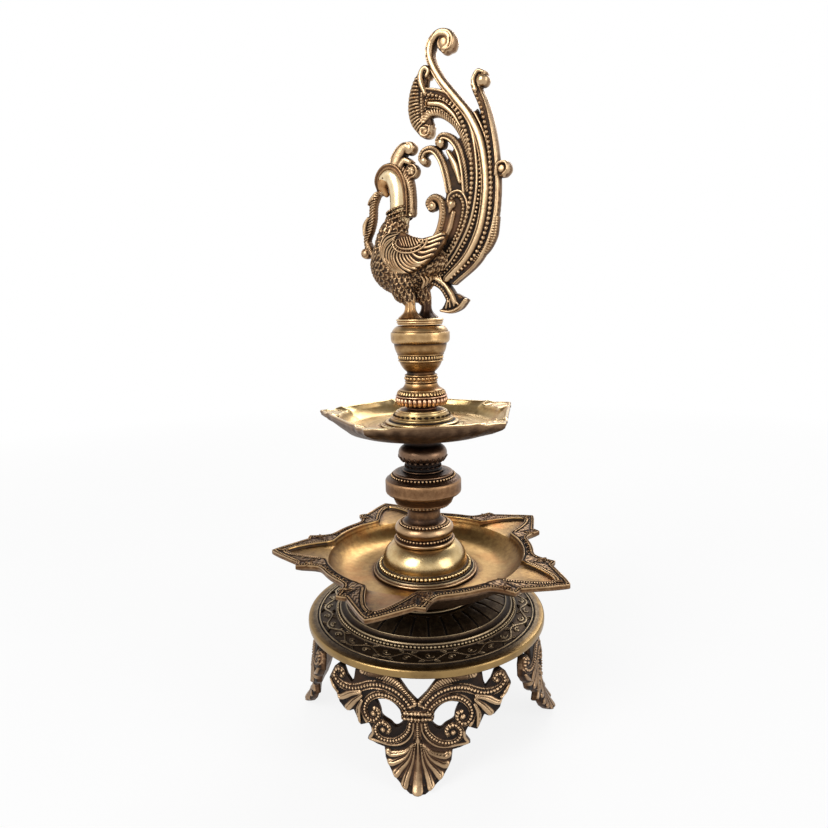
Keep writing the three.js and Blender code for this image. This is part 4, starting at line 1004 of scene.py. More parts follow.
def add_tray():
    base, rim = foot("cornered_tray"), head("cornered_tray") - 0.1
    floor = base + 4.2
    half = by_angle([polar(*key) for key in TRAY_KEYS], 84)
    angle, edge, offset = mirrored_sectors(half, CORNERS, CORNER_TURN)
    ear = bump(offset, 13.0, 3.2)
    pocket = np.clip((15.5 - offset) / 3.0, 0, 1)
    facet = 0.25 * np.sin(offset * 0.8) * bump(offset, 10, 14)
    nib = 0.6 * bump(offset, 12.6, 2.2)
    dip = 0.7 * bump(offset, 8.4, 2.6) - nib
    top = rim - dip * 0.8 + 0.05 * ear
    columns = [
        (6.4, base, -0.3, 2), (30, base, -0.2, 2), (49, base, 0.1, 2), (51, base + 0.3, 0.2, 2),
        (56, base + 2, facet, 2), (0.5 * (56 + edge) + 0.8 * facet, base + 5.6, facet, 2),
        (0.15 * 56 + 0.85 * edge + 0.5 * facet, rim - 5.4, 1.4 * facet, 2),
        (edge - 0.9, rim - 3.6, facet, 2), (edge - 0.5, rim - 2.3 - 0.5 * dip, 0.5 + facet, 2),
        (edge, rim - 1.7 - 0.7 * dip, 0.7, 2), (edge, top - 0.7, 0.5, 0), (edge - 0.25, top - 0.15, 1, 1),
        (edge - 0.8, top, 1, 1), (edge - 1.7, top - 0.1, 0.8, 1), (edge - 2.3, top - 0.6, -0.4, 1),
    ]
    wall = edge - 2.3
    fold = np.minimum(wall - 0.8, 61.4)
    roll = bump(offset, 12.6, 1.3)
    for t in np.linspace(0.0, 1.0, 13)[1:]:
        slope = 0.7 + 1.5 * t + 1.6 * (1 - pocket) * t
        ridge = 0.5 * roll * (1 - t)
        crease = 0.5 * pocket * bump(t, 0.93, 0.05)
        tone = 0.35 * pocket + 0.8 * crease - 0.9 * bump(offset, 10.4, 0.8) * pocket * (1 - t)
        columns.append((wall * (1 - t) + fold * t, top - slope + ridge * pocket + crease, tone, 1))
    for t in np.linspace(0, 1, 12)[1:]:
        radius = fold * (1 - t) + 51.0 * t
        rise = (1 - t) ** (1.9 + 0.9 * pocket)
        start = rim - 2.3 - 1.6 * (1 - pocket)
        columns.append((radius, floor + (start - floor) * rise,
                        -0.5 * bump(t, 0.1, 0.12) * pocket - 0.12, 1))
    shell = Shell()
    folds = 0.55 * np.abs(np.sin(angle * PETALS / 2))
    for r in (46, 40.6, 39.9, 39.2, 36, 34.6, 33.6, 32.9, 32.4, 31.6, 30.2, 28.4, 24, 6.4):
        lobe = np.clip(1 - np.abs(r - 31.6 - 2.2 * folds) / 0.9, 0, 1) if 29 < r < 36 else 0 * angle
        lobe = lobe + 0.6 * (r == 39.9)
        columns.append((r, floor - 0.25 * lobe, -1.0 * lobe, 1))
    dish_grid(shell, angle, columns)
    shell.piece("tray_cast", [BORDER, PALE, UNDERSIDE], "lower_stem", "cornered_tray")


# Flat castings carved with strands, beads and leaves

def inside_outline(places, outline):
    """Whether each place is inside a closed outline."""
    x, y = places[..., 0], places[..., 1]
    crossings = np.zeros(x.shape, int)
    for (x0, y0), (x1, y1) in zip(outline, np.roll(outline, -1, 0)):
        if y0 == y1:
            continue
        spans = (y0 > y) != (y1 > y)
        crossings += spans & (x < (x1 - x0) * (y - y0) / (y1 - y0) + x0)
    return crossings % 2 == 1


def blurred(field, cells):
    """A field averaged over a square, three times."""
    for _ in range(3):
        for axis in (0, 1):
            padded = np.pad(field, [(cells + 1, cells) if k == axis else (0, 0) for k in (0, 1)],
                            mode="edge")
            total = np.cumsum(padded, axis=axis)
            size = field.shape[axis]
            first, last = np.arange(size), np.arange(size) + 2 * cells + 1
            field = (np.take(total, last, axis) - np.take(total, first, axis)) / (2 * cells + 1)
    return field


def rib(high, grooves=()):
    """Rounded strand, with fine grooves at some shares of its half width."""
    def form(across, share, place):
        cut = sum(0.4 * high * bump(across, g, 0.1) for g in grooves)
        return high * np.sqrt(np.clip(1 - share ** 2, 0, 1)) - cut
    return form


def beads(high, pitch, size=0.55, edge=0.5):
    """Strand with a line of beads along its middle and a thin ridge at each side."""
    def form(across, share, place):
        half = np.abs(across)
        from_bead = (place / pitch % 1 - 0.5) * pitch
        ground = np.maximum(edge * high * bump(half, 0.86, 0.13), 0.12 * high)
        return ground, from_bead, pitch * size, high
    return form


def ribs(high, pitch, deep, lean=0.6):
    """Strand with ribs across it."""
    def form(across, share, place):
        wave = 0.5 + 0.5 * np.cos(2 * math.pi * (place / pitch + lean * across))
        return high * np.sqrt(np.clip(1 - share ** 2, 0, 1)) * (1 - deep + deep * wave)
    return form


def leaf(high):
    """Leaf with a raised rim round a sunk middle that has a ridge."""
    def form(across, share, place):
        return high * np.maximum(bump(share, 0.8, 0.17), np.maximum(0.62 * bump(share, 0, 0.24), 0.22))
    return form


class Carving:
    """Height map of a flat casting. outside is the distance beyond its outline, negative inside."""

    def __init__(self, low, high, cell):
        self.cell, self.low = cell, np.array(low, float)
        size = [int((b - a) / cell) + 2 for a, b in zip(low, high)]
        index = np.stack(np.meshgrid(*[np.arange(n) for n in size], indexing="ij"), -1)
        self.places = self.low + index * cell
        self.outside = np.full(size, 9.0)
        self.height = np.zeros(size)

    def window(self, points, margin):
        points = np.asarray(points, float)
        first = np.maximum(((points.min(0) - margin - self.low) / self.cell).astype(int), 0)
        last = ((points.max(0) + margin - self.low) / self.cell).astype(int) + 2
        return slice(first[0], last[0]), slice(first[1], last[1])

    def area(self, outline, height=0.0, cut=False):
        """Adds what is inside an outline, or cuts it out."""
        outline = np.array(outline, float)
        part = self.window(outline, 4)
        places = self.places[part]
        inside = inside_outline(places, outline)
        beyond = to_outline(places, outline) * np.where(inside, -1, 1)
        if cut:
            self.outside[part] = np.maximum(self.outside[part], -beyond)
            return
        self.outside[part] = np.minimum(self.outside[part], beyond)
        self.height[part] = np.where(inside, np.maximum(self.height[part], height), self.height[part])

    def nearest(self, path, part):
        """Distance, side and place along a path, for each grid point of a window."""
        places = self.places[part].reshape(-1, 2)
        a, way = path[:-1], np.diff(path, axis=0)
        steps = np.hypot(way[:, 0], way[:, 1])
        so_far = np.concatenate([[0], np.cumsum(steps)])[:-1]
        far, side, along = (np.empty(len(places)) for _ in range(3))
        for first in range(0, len(places), 2000):
            block = places[first:first + 2000]
            rest = block[:, None] - a
            t = np.clip((rest * way).sum(-1) / steps ** 2, 0, 1)
            gap = rest - t[..., None] * way
            squared = (gap ** 2).sum(-1)
            best = squared.argmin(1)
            row = np.arange(len(block))
            far[first:first + 2000] = np.sqrt(squared[row, best])
            turn = way[best, 0] * rest[row, best, 1] - way[best, 1] * rest[row, best, 0]
            side[first:first + 2000] = np.sign(turn)
            along[first:first + 2000] = so_far[best] + t[row, best] * steps[best]
        shape = self.places[part].shape[:2]
        return far.reshape(shape), side.reshape(shape), along.reshape(shape), steps.sum()

    def stroke(self, points, widths, form, lift=0.0, solid=True, over=False):
        """A strand along a smooth path, its half width running through some values."""
        path = smooth_path(points, 0.5)
        part = self.window(path, max(widths) + 1.2)
        far, side, along, length = self.nearest(path, part)
        half = np.interp(along / length, np.linspace(0, 1, len(widths)), widths)
        share = far / half
        made = form(side * share, share, along)
        if isinstance(made, tuple):
            made, from_bead, reach, high = made
            reach = np.minimum(reach, 0.72 * half)
            ball = np.sqrt(np.clip(1 - (far ** 2 + from_bead ** 2) / reach ** 2, 0, 1))
            made = np.maximum(made, high * ball)
        height = self.height[part]
        fresh = np.where(share < 1, lift + made, 0)
        if over:
            self.height[part] = np.where(share < 1, fresh, height)
        else:
            self.height[part] = np.maximum(height, fresh)
        if solid:
            self.outside[part] = np.minimum(self.outside[part], far - half)

    def knob(self, centre, radius, high, ring=0.0, lift=0.0, solid=True):
        """A round boss, with or without a sunk ring."""
        part = self.window([centre], radius + 1.2)
        far = np.hypot(*np.moveaxis(self.places[part] - np.array(centre, float), -1, 0))
        share = far / radius
        dome = high * np.sqrt(np.clip(1 - share ** 2, 0, 1)) - ring * bump(share, 0.62, 0.14)
        self.height[part] = np.maximum(self.height[part], np.where(far < radius, lift + dome, 0))
        if solid:
            self.outside[part] = np.minimum(self.outside[part], far - radius)

    def mirrored(self):
        """The grid's left half becomes the mirror image of its right half. Its middle is at x = 0."""
        self.outside = np.minimum(self.outside, self.outside[::-1])
        self.height = np.maximum(self.height, self.height[::-1])

    def solid(self, shell, bend, front, back, edge=1.0, both=False, ground=-0.85):
        """Closed mesh of the casting. front and back are how far its faces lie from the middle plane.
        bend turns (x, depth towards the front, z) into a place in the lamp."""
        near = self.outside < 0
        cells = near[:-1, :-1] | near[1:, :-1] | near[1:, 1:] | near[:-1, 1:]
        columns = near.shape[1]
        i, j = np.nonzero(cells)
        here = i * columns + j
        faces = np.stack([here, here + columns, here + columns + 1, here + 1], -1)
        slope = np.stack(np.gradient(self.outside, self.cell), -1)
        steep = np.maximum((slope ** 2).sum(-1), 0.2)
        pull = np.where(self.outside > 0, self.outside / steep, 0)
        places = self.places - slope * pull[..., None]
        depth = np.clip(-self.outside / edge, 0, 1)
        rounded = np.sqrt(1 - (1 - depth) ** 2)
        tone = np.clip((self.height - blurred(self.height, max(1, round(1.6 / self.cell)))) / 0.42, -1, 1)
        tone = np.where(self.height < 0.02, ground, tone) * np.where(depth > 0, 1, 0.4)
        used, packed = np.unique(faces, return_inverse=True)
        packed = packed.reshape(faces.shape)
        x, z = places.reshape(-1, 2)[used].T
        rounded, tone = rounded.ravel()[used], tone.ravel()[used]
        rise = self.height.ravel()[used]
        rim = 0.45
        out_front = (rim + (1 - rim) * rounded) * front + rise * rounded
        out_back = (rim + (1 - rim) * rounded) * back + (rise * rounded if both else 0)
        points = np.vstack([bend(x, out_front, z), bend(x, -out_back, z)])
        count = len(used)
        a, b = packed.ravel(), np.roll(packed, -1, 1).ravel()
        forward, reverse = a * count + b, b * count + a
        alone = ~np.isin(forward, reverse)
        a, b = a[alone], b[alone]
        walls = np.stack([b, a, a + count, b + count], -1)
        shell.add(points, np.vstack([packed, packed[:, ::-1] + count, walls]),
                  np.concatenate([tone, tone if both else 0 * tone]))


# Legs

LEG_HALF = [
    (0, 57.7), (6, 63.5), (12, 71), (15.5, 75.2), (38, 75.6), (42.6, 73), (43.4, 67.5), (44.8, 64.4),
    (48.2, 68.2), (50.6, 73.4), (54.1, 74.4), (58.5, 70.4), (62, 63.2), (59.6, 58.2), (56, 54.4),
    (54.5, 49), (50.5, 45.2), (47, 44.6), (44, 46.5), (41.6, 41.6), (39.2, 36.6), (33.3, 39.5),
    (31.6, 36), (31.4, 32), (34.6, 26.6), (28, 24.4), (22.7, 23.4), (21.9, 17.3), (19.6, 12.6),
    (15.8, 7.6), (8.9, 2.4), (5, 0), (0, -0.6),
]
LEG_HOLE = [
    (29, 56.6), (21, 57.8), (14.8, 55.1), (9.9, 48.5), (9.7, 43.1), (14.3, 39.4), (18.2, 42.1),
    (23.6, 45.3), (24.7, 49.8), (26.6, 54.2),
]
LEG_SWEEP = [(0, 9.6), (0.07, 5.6), (0.16, 1.6), (0.33, -2.4), (0.52, -1.4), (0.78, -3.4), (1, -7.4)]


def leg_surface(x, z):
    """How far the outer face of a leg is from the stem's axis, towards its front."""
    share = z / head("leg_front")
    knots, values = zip(*LEG_SWEEP)
    return RIM_RADIUS + np.interp(share, knots, values) - x ** 2 / (2 * LEG_BOW)


def leg_carving():
    carved = Carving((-63, -1.2), (63, 77), 0.42)
    middle = carved.places[len(carved.places) // 2, 0, 0]
    carved.places[..., 0] -= middle
    carved.low[0] -= middle
    outline = LEG_HALF + [(-x, z) for x, z in LEG_HALF[1:-1][::-1]]
    carved.area(outline)
    for side in (1, -1):
        carved.area([(side * x, z) for x, z in smooth_path(LEG_HOLE + LEG_HOLE[:1], 0.8)], cut=True)
    hatched = ribs(1.3, 1.7, 0.6)
    plain = rib(1.0)
    carved.stroke([(1, 57.3), (5, 62.6), (10, 67), (16, 70.3), (23, 72.3), (30, 73.4), (37, 74)],
                  (1.6, 2.3, 2.4), hatched, solid=False)
    carved.stroke([(8, 51.6), (12.6, 56.6), (18.4, 59.6), (25, 60.6), (31.5, 58.6), (36, 54),
                   (37.6, 48.6), (36.4, 43.6), (34.4, 40.6)],
                  (0.9, 1.0, 0.9), plain, lift=0.25, solid=False)
    carved.stroke([(3.7, 53.7), (8, 59.4), (13.6, 63.8), (19.8, 66.2), (26.3, 66.9), (32.8, 65.8),
                   (38.4, 63.4), (44.3, 61.6), (49.8, 61.5), (54.8, 63.2), (58, 66.6), (56.7, 70.4),
                   (53.2, 71.6), (51, 69.3), (52.8, 67.4)],
                  (2.3, 2.9, 2.7, 2.5, 1.5), beads(1.5, 2.25, 0.46), lift=0.15, solid=False)
    carved.stroke([(6.4, 51), (9.8, 55.7), (15.2, 59.3), (21, 61), (26.7, 60.7), (31.8, 57.7), (35, 53.2),
                   (35.8, 48.2), (33.4, 43.6), (29.4, 42.8), (26.4, 45.8), (26.3, 49.4), (28.8, 50.8)],
                  (1.8, 2.3, 2.3, 2.1, 1.4), beads(1.45, 2.15, 0.46), lift=0.2, over=True)
    carved.knob((29.6, 47.2), 1.9, 1.9, 0.7)
    carved.stroke([(4.7, 44.4), (5.7, 39.2), (9, 34.2), (13.7, 30.5), (18.8, 29.1), (24.1, 29.7),
                   (27.6, 33), (28.3, 37.8), (25.2, 41.8), (21.3, 41.5), (18.7, 38.2), (20, 35)],
                  (1.6, 2.1, 2.1, 1.9, 1.3), beads(1.45, 2.1, 0.46), lift=0.2)
    carved.knob((23.2, 36.8), 1.8, 1.8, 0.7)
    carved.stroke([(2.4, 43.8), (3.4, 37), (6.6, 31.2), (12, 27.0), (18.5, 25.8), (25, 26.9),
                   (32.5, 27.6)],
                  (0.7, 0.9, 1.1), plain, solid=False)
    carved.stroke([(30.2, 36), (30.8, 31.6), (33, 28)], (1.3, 0.8), rib(0.8), solid=False)
    for path, widths in (
            ([(39, 60.4), (45.5, 58), (52, 54), (55.5, 53.5)], (1.6, 2.6, 1.9)),
            ([(38.4, 58), (43.4, 53.2), (48, 47.6)], (1.6, 2.8, 2.3)),
            ([(37.8, 54.6), (40.2, 48.4), (39.4, 40)], (1.3, 1.9, 1.1)),
            ([(55.4, 56.6), (58.6, 60), (60.6, 63.4)], (1.1, 1.4, 0.8))):
        carved.stroke(path, widths, rib(1.9, (0.3,)), lift=0.1, solid=False)
    carved.stroke([(0.9, 56), (4, 55), (6.4, 54.2)], (0.9, 0.9), plain, solid=False)
    for place in np.arange(45.2, 31.5, -1.5):
        carved.knob((0, place), 0.72, 1.2, solid=False)
    carved.stroke([(0, 32.2), (0, 28.6)], (0.9, 1.7, 1.4), rib(1.5), solid=False)
    for x in (2.0, 3.4):
        carved.stroke([(0.75 * x, 43.8), (0.55 * x, 36), (0.9 * x, 29.5)], (0.45, 0.5, 0.4), rib(0.7),
                      solid=False)
    for z, half, high in ((50.4, 1.75, 1.8), (46.7, 1.45, 1.6)):
        carved.stroke([(-9.4, z + 0.3), (0, z), (9.4, z + 0.3)], (half, half),
                      beads(high, 2.35, 0.5, 0.8), lift=0.3)
    tips = [(0.0, 1.2, 3.9), (8.9, 3.6, 3.0), (15.2, 9.2, 3.0), (19.4, 15.2, 2.8), (21.0, 21.4, 2.4)]
    for x, z, half in tips:
        root = (0.16 * x, 29.5 - 0.03 * x)
        bent = (0.4 * x, 0.45 * z + 0.55 * 29.5 - 0.2 * abs(x) + 1.6)
        path = [root, bent, (0.8 * x, 0.76 * z + 0.24 * 29.5 - 0.12 * x),
                (x * 0.94, z * 0.95 + 0.05 * 29.5)]
        carved.stroke(path, (0.5, 1.1, 0.75 * half, half, half * 0.98), rib(2.2, (0.3,)), solid=False)
    for x, z in ((4.9, 3.0), (12.4, 6.6), (17.6, 12.2), (20.4, 18.4)):
        path = [(0.14 * x, 28.6), (0.46 * x, 0.5 * z + 12.6 - 0.12 * x), (0.9 * x, 0.92 * z + 2.2)]
        carved.stroke(path, (0.35, 0.6, 1.0), rib(1.15), solid=False)
    carved.mirrored()
    return carved


def add_legs():
    carved = leg_carving()
    form = round_form(1, 1, 1, 0.22, 16, 10)
    for k, name in enumerate(("leg_front", "leg_right", "leg_back", "leg_left")):
        turn = math.radians(90 * k)
        spin = np.array([[math.cos(turn), -math.sin(turn), 0], [math.sin(turn), math.cos(turn), 0],
                         [0, 0, 1]])

        def bend(x, depth, z):
            out = leg_surface(x, z) - LEG_THICKNESS / 2 + depth
            return np.stack([x, -out, np.maximum(z, 0)], -1) @ spin.T

        shell = Shell()
        carved.solid(shell, bend, LEG_THICKNESS / 2 - 1.0, LEG_THICKNESS / 2)
        for side in (1, -1):
            points, faces, tone = form
            box = np.array([side * 28, -73.3, 74.5]) + points * (12, 21.6, 4)
            shell.add(box @ spin.T, faces, tone * 0.4)
        # The side legs take the darker copy: painted shade
        shell.piece(name + "_cast", LEG if k % 2 == 0 else SHADED_SIDE_LEG, "base", name, sharp=70)


# Peacock

# Drawn in the bird's own plane, [back, height over the floor]. The flat casting's strands come in pairs
# of a beaded line and a plain rib.
BIRD_SPIN = np.array([
    [math.cos(math.radians(BIRD_TURN)), -math.sin(math.radians(BIRD_TURN)), 0],
    [math.sin(math.radians(BIRD_TURN)), math.cos(math.radians(BIRD_TURN)), 0], [0, 0, 1]])

PLUME = [(24.1, 333.1), (39.5, 347.1), (49.3, 364.6), (53.3, 384.6), (53.3, 402.1), (49.6, 421.2),
         (41.8, 437.1), (31.8, 449.8), (20.6, 463.8), (13.6, 477.4), (14.2, 486.8), (20.6, 491.6),
         (27.3, 489.2), (28.2, 483.6), (24.6, 481.2)]
OUTER = [(28, 331.6), (46.4, 346.2), (56, 365.3), (59.2, 386.4), (58.6, 408.7), (55.8, 427.4),
         (51.7, 442.6), (47.2, 452.6), (46.2, 457.4), (48.6, 460.4)]
INNER = [(14.7, 336.3), (27.4, 349.1), (39.8, 369.3), (45.1, 391.8), (44.5, 413.2), (40.3, 431.2),
         (33.2, 444.7), (21.5, 453.5), (7.8, 457.8)]
FAN_LOW = [(43.1, 410.9), (38.8, 424), (31.6, 435), (21.3, 442.3), (12.6, 443.6), (7.6, 440)]
FAN_CRESCENT = [(9.6, 470.4), (4.4, 466.8), (1.3, 459), (0.3, 449.6), (1.6, 440.6), (6.4, 432.6)]
CURL_A = [(39.2, 389.9), (37.9, 404), (34.3, 417.1), (28.5, 425), (21.9, 427.6), (18.6, 424.2),
          (21.4, 421.8)]
CURL_B = [(26.5, 391.3), (24.4, 401.9), (20.8, 412.6), (14.8, 419.8), (8, 419.8), (5.2, 415.4), (8, 412)]
LOW_RIGHT = [(14.8, 341.1), (27.5, 353.1), (36, 368.3), (38.6, 381.2), (34.6, 388.8), (28.6, 388),
             (27.6, 383.4)]
LOW_LEFT = [(9.6, 357.6), (17, 364.4), (20.9, 374.8), (20.4, 384.4), (15, 388.6), (10.2, 385.6),
            (11.8, 381.6)]
WEB = [(12, 338), (26, 333), (46, 346), (56, 366), (58.4, 388), (57, 412), (52, 431), (47.4, 441),
       (43, 436), (39.5, 427), (33.6, 424.6), (30.4, 419), (24.4, 411), (26, 398), (23.4, 388),
       (21.4, 376), (16.6, 366), (9, 357)]
TUFT = [(4, 334.4), (13, 332.6), (20.6, 328.6), (25.8, 321.6), (28.2, 316.4)]
TUFT_END = [(24.2, 322), (21.4, 315.8), (18.6, 311.6), (24.4, 309.8), (31.6, 311.6), (37.9, 317),
            (37.6, 319.8), (31.6, 323)]
FAN_PLATE = [(12, 470), (5, 470), (0, 461), (-1.6, 450), (0.4, 439), (6, 431), (13, 430), (14.6, 437),
             (13, 441.4), (20, 441.4), (28, 437), (36, 430), (42, 428), (36, 442), (26, 452), (17, 457.6),
             (10.6, 460.6)]


def beside(points, shift):
    """A path moved to its right by a distance."""
    path = smooth_path(points, 1.5)
    tangent = np.gradient(path, axis=0)
    normal = np.stack([tangent[:, 1], -tangent[:, 0]], 1)
    return path + normal / np.hypot(normal[:, 0], normal[:, 1])[:, None] * shift


def paired_strand(carved, points, widths, pitch=2.8, high=1.9, left=True):
    """A strand of a beaded line and a plain rib side by side."""
    side = -1 if left else 1
    widest = max(widths)
    carved.stroke(points, widths, rib(0.35), lift=0.25)
    carved.stroke(beside(points, side * 0.36 * widest), [0.6 * w for w in widths],
                  beads(high, pitch, 0.55, 0.12), lift=0.2)
    carved.stroke(beside(points, -side * 0.62 * widest), [0.33 * w for w in widths], rib(high * 0.8),
                  lift=0.2)


def flat_casting():
    """Tail, crest, nape and garland: everything of the bird that is cast flat, alike on both faces."""
    carved = Carving((-52, 305), (73, 496.5), 0.42)
    carved.area(WEB, 0.0)
    carved.area(FAN_PLATE, 0.0)
    for path, widths in (([(35.2, 396.4), (31.8, 407.4), (26.4, 417)], (1.4, 2.7, 1.6)),
                         ([(22.9, 358.8), (27, 367.7), (30, 377)], (1.1, 2.4, 1.8))):
        carved.stroke(path, widths, rib(2.1), lift=0.2)
    paired_strand(carved, OUTER, (2.8, 3.9, 4.1, 3.8, 2.9, 2.3), pitch=3.2, high=2.2)
    carved.stroke(PLUME, (2.8, 3.4, 3.5, 3.4, 3.2, 2.9, 2.8), rib(2.2, (0.46,)), lift=0.35)
    carved.stroke(beside(INNER[:5], 4.7), (1.3, 1.8, 1.9, 1.3), beads(1.7, 2.7, 0.52, 0.1), lift=0.2,
                  solid=False)
    carved.stroke(beside(PLUME[2:9], 4.4), (0.7, 0.9, 0.9, 0.7), rib(1.5), lift=0.1, solid=False)
    paired_strand(carved, INNER, (2.6, 3.6, 3.9, 3.6, 3.0), pitch=3.1, high=2.1)
    carved.stroke(FAN_LOW, (2.3, 3.1, 3.0, 2.6), ribs(1.6, 2.0, 0.5), lift=0.2)
    carved.stroke([(36.4, 431.2), (30.6, 440), (22.3, 447.0), (12.8, 449.6)], (1.4, 2.9, 3.5, 3.0),
                  leaf(2.0), lift=0.3)
    carved.stroke([(36.4, 431.2), (30.6, 440), (22.3, 447.0), (12.8, 449.6)], (0.7, 1.6, 2.1, 1.7),
                  rib(1.9), lift=0.4)
    carved.stroke([(7.3, 462), (6.6, 450), (7.4, 439)], (1.2, 1.5, 1.3), beads(1.2, 1.9, 0.5, 0.5),
                  lift=0.3)
    carved.stroke([(15, 456.4), (10.4, 452.4), (9.6, 446.4), (14, 442.6)], (0.9, 1.0, 0.9),
                  beads(1.2, 1.9, 0.5, 0.5), lift=0.2)
    carved.stroke(FAN_CRESCENT, (1.9, 3.3, 4.4, 5.0, 4.4, 3.2), ribs(1.9, 2.3, 0.72, 0.12), lift=0.1)
    carved.stroke([(9.8, 456.4), (6.6, 463.6), (6.5, 469.4), (9.6, 472.6), (12.6, 470.2), (11.2, 467)],
                  (1.5, 2.1, 2.3, 2.0, 1.5), rib(2.2), lift=0.2, over=True)
    carved.knob((9.2, 432.6), 4.7, 2.0, 0.6)
    carved.stroke([(13.4, 435), (11.6, 429.6), (6.6, 430.4), (6.6, 434.4), (9.8, 434)],
                  (0.9, 1.1, 1.1, 0.9), rib(1.0), lift=1.7, solid=False, over=True)
    for path, centre, first in ((CURL_A, (20.8, 423.4), 3.0), (CURL_B, (7.4, 413.4), 2.9)):
        carved.stroke(path, (2.6, first, 2.9, 2.3), rib(0.5), lift=0.2)
        carved.stroke(beside(path, 1.3), (1.3, 1.5, 1.4, 1.1), ribs(1.6, 2.0, 0.5), lift=0.2)
        carved.stroke(beside(path, -1.5), (1.1, 1.35, 1.25, 1.0), rib(1.6), lift=0.2)
        carved.knob(centre, 3.1, 2.5)
    paired_strand(carved, LOW_RIGHT, (2.0, 2.9, 3.0, 2.5), pitch=2.3, high=1.7)
    carved.knob((28.6, 382.6), 3.4, 2.9)
    carved.stroke([(28.2, 381), (27.4, 377.4)], (2.2, 0.8), rib(2.4), lift=0.2)
    carved.stroke(LOW_LEFT, (2.2, 2.9, 3.0, 2.4), rib(0.6), lift=0.2)
    carved.stroke(beside(LOW_LEFT, 1.1), (1.1, 1.4, 1.5, 1.2), beads(1.5, 2.1, 0.5, 0.4), lift=0.2)
    carved.knob((13.4, 383), 3.4, 2.0, 0.5)
    carved.knob((51.4, 457.4), 4.0, 2.8, 0.3)
    carved.stroke([(47, 452), (45.4, 458.6), (48.6, 463.2), (53.0, 461.6)], (1.6, 1.7, 1.6, 1.3),
                  rib(1.9), lift=0.2)
    carved.knob((24.4, 485.4), 5.6, 2.4, 0.5)
    carved.stroke([(15.6, 488), (20.6, 492.4), (27.4, 491.2), (30.8, 486.6), (29.6, 481.4),
                   (25.6, 480.4)],
                  (1.5, 1.7, 1.8, 1.6, 1.2), rib(2.4), lift=0.3)
    carved.knob((65.2, 401.2), 5.3, 2.0, 1.1)
    carved.stroke([(61.2, 398), (62.4, 404.4), (67.8, 405), (69.4, 400.4), (66.4, 397.2)],
                  (1.3, 1.3, 1.3, 1.2), rib(2.4), lift=0.2)
    carved.stroke([(61, 371.4), (58, 359.6), (52.8, 351.2), (45.5, 344.8)], (1.5, 2.7, 2.6, 1.4),
                  ribs(1.8, 1.7, 0.55, 0.4), lift=0.2)
    for k in range(5):
        root = np.array([8.6 + 2.6 * k, 343.4 - 1.9 * k])
        carved.stroke([root, root + (2.0, -4.6), root + (5.0, -9.0)], (0.8, 1.5, 1.0), rib(1.8), lift=0.2)
    carved.area(TUFT_END, 0.3)
    carved.stroke(TUFT, (2.8, 3.6, 4.0, 4.6), rib(0.5), lift=0.2)
    carved.stroke(beside(TUFT, 1.9), (1.2, 1.4, 1.6, 1.7), beads(1.5, 2.1, 0.5, 0.6), lift=0.2)
    carved.stroke(beside(TUFT, -1.9), (1.4, 1.7, 1.8, 2.4), rib(1.9), lift=0.2)
    carved.stroke([(19.2, 311.4), (26.6, 310.6), (33.6, 313.2), (38, 318)], (1.2, 1.5, 1.5), rib(2.0),
                  lift=0.3)
    for x in (23.4, 26.6, 29.8, 33):
        carved.stroke([(0.5 * x + 13.4, 320.6 - 0.05 * x), (x, 313.2 + 0.24 * (x - 24))], (0.6, 1.1),
                      rib(1.7), solid=False)
    # Crest, nape and garland
    carved.stroke([(-17.6, 411), (-14.4, 418.4), (-9.6, 423.8), (-6.4, 424.8)], (2.9, 4.9, 4.6, 3.4),
                  rib(2.2, (0.6,)), lift=0.3)
    carved.knob((-4.2, 423.6), 4.6, 2.4, 0.3)
    carved.stroke([(-12.4, 412.6), (-8.6, 415.8), (-4.4, 414.4)], (2.4, 2.6, 2.2), rib(1.7), lift=0.2)
    carved.knob((-2.9, 408.2), 5.2, 1.9, 0.9)
    for k in range(6):
        a = k * math.pi / 3
        carved.knob((-2.9 + 2.3 * math.cos(a), 408.2 + 2.3 * math.sin(a)), 1.1, 2.5)
    carved.knob((-2.9, 408.2), 1.3, 2.9)
    carved.stroke([(-28.6, 407.6), (-23.6, 412.2), (-16.8, 412.8), (-10.4, 409.8), (-6.2, 403.2),
                   (-4.2, 393.4), (-4.0, 379.4)],
                  (1.6, 2.6, 3.1, 3.2, 2.9, 2.6, 2.3), ribs(1.3, 2.0, 0.6, 0.5), lift=0.1)
    carved.stroke([(-8.4, 406), (-5.2, 399.6), (-3.4, 391), (-3.2, 380.4)], (1.2, 1.5, 1.5, 1.3),
                  ribs(1.5, 1.5, 0.45, 0.6), lift=0.5)
    carved.stroke([(-28.4, 396.4), (-32.6, 395.6), (-36.6, 388.6), (-37.8, 378.6), (-40.2, 371),
                   (-43.2, 364.6), (-42.4, 357.4)],
                  (1.8, 2.5, 2.6, 2.6, 2.4, 2.1), ribs(1.5, 2.1, 0.7, 0.9), lift=0.0)
    carved.stroke([(-33.4, 396.2), (-38.4, 391.6), (-40.0, 389)], (1.4, 1.6, 0.7), rib(1.5), lift=0.1)
    carved.stroke([(-40.6, 379.6), (-43.6, 374.8), (-44.4, 368)], (1.3, 2.2, 1.4), rib(1.6), lift=0.2)
    carved.knob((-44.3, 354.6), 4.0, 2.0, 0.8)
    carved.stroke([(-42.2, 361.6), (-40.6, 357.4), (-38.4, 353.6)], (1.9, 2.4, 1.8), ribs(1.3, 1.5, 0.5),
                  lift=0.2)
    return carved


def into_bird(points):
    """From the bird's own plane into the lamp."""
    return np.asarray(points, float) @ BIRD_SPIN.T


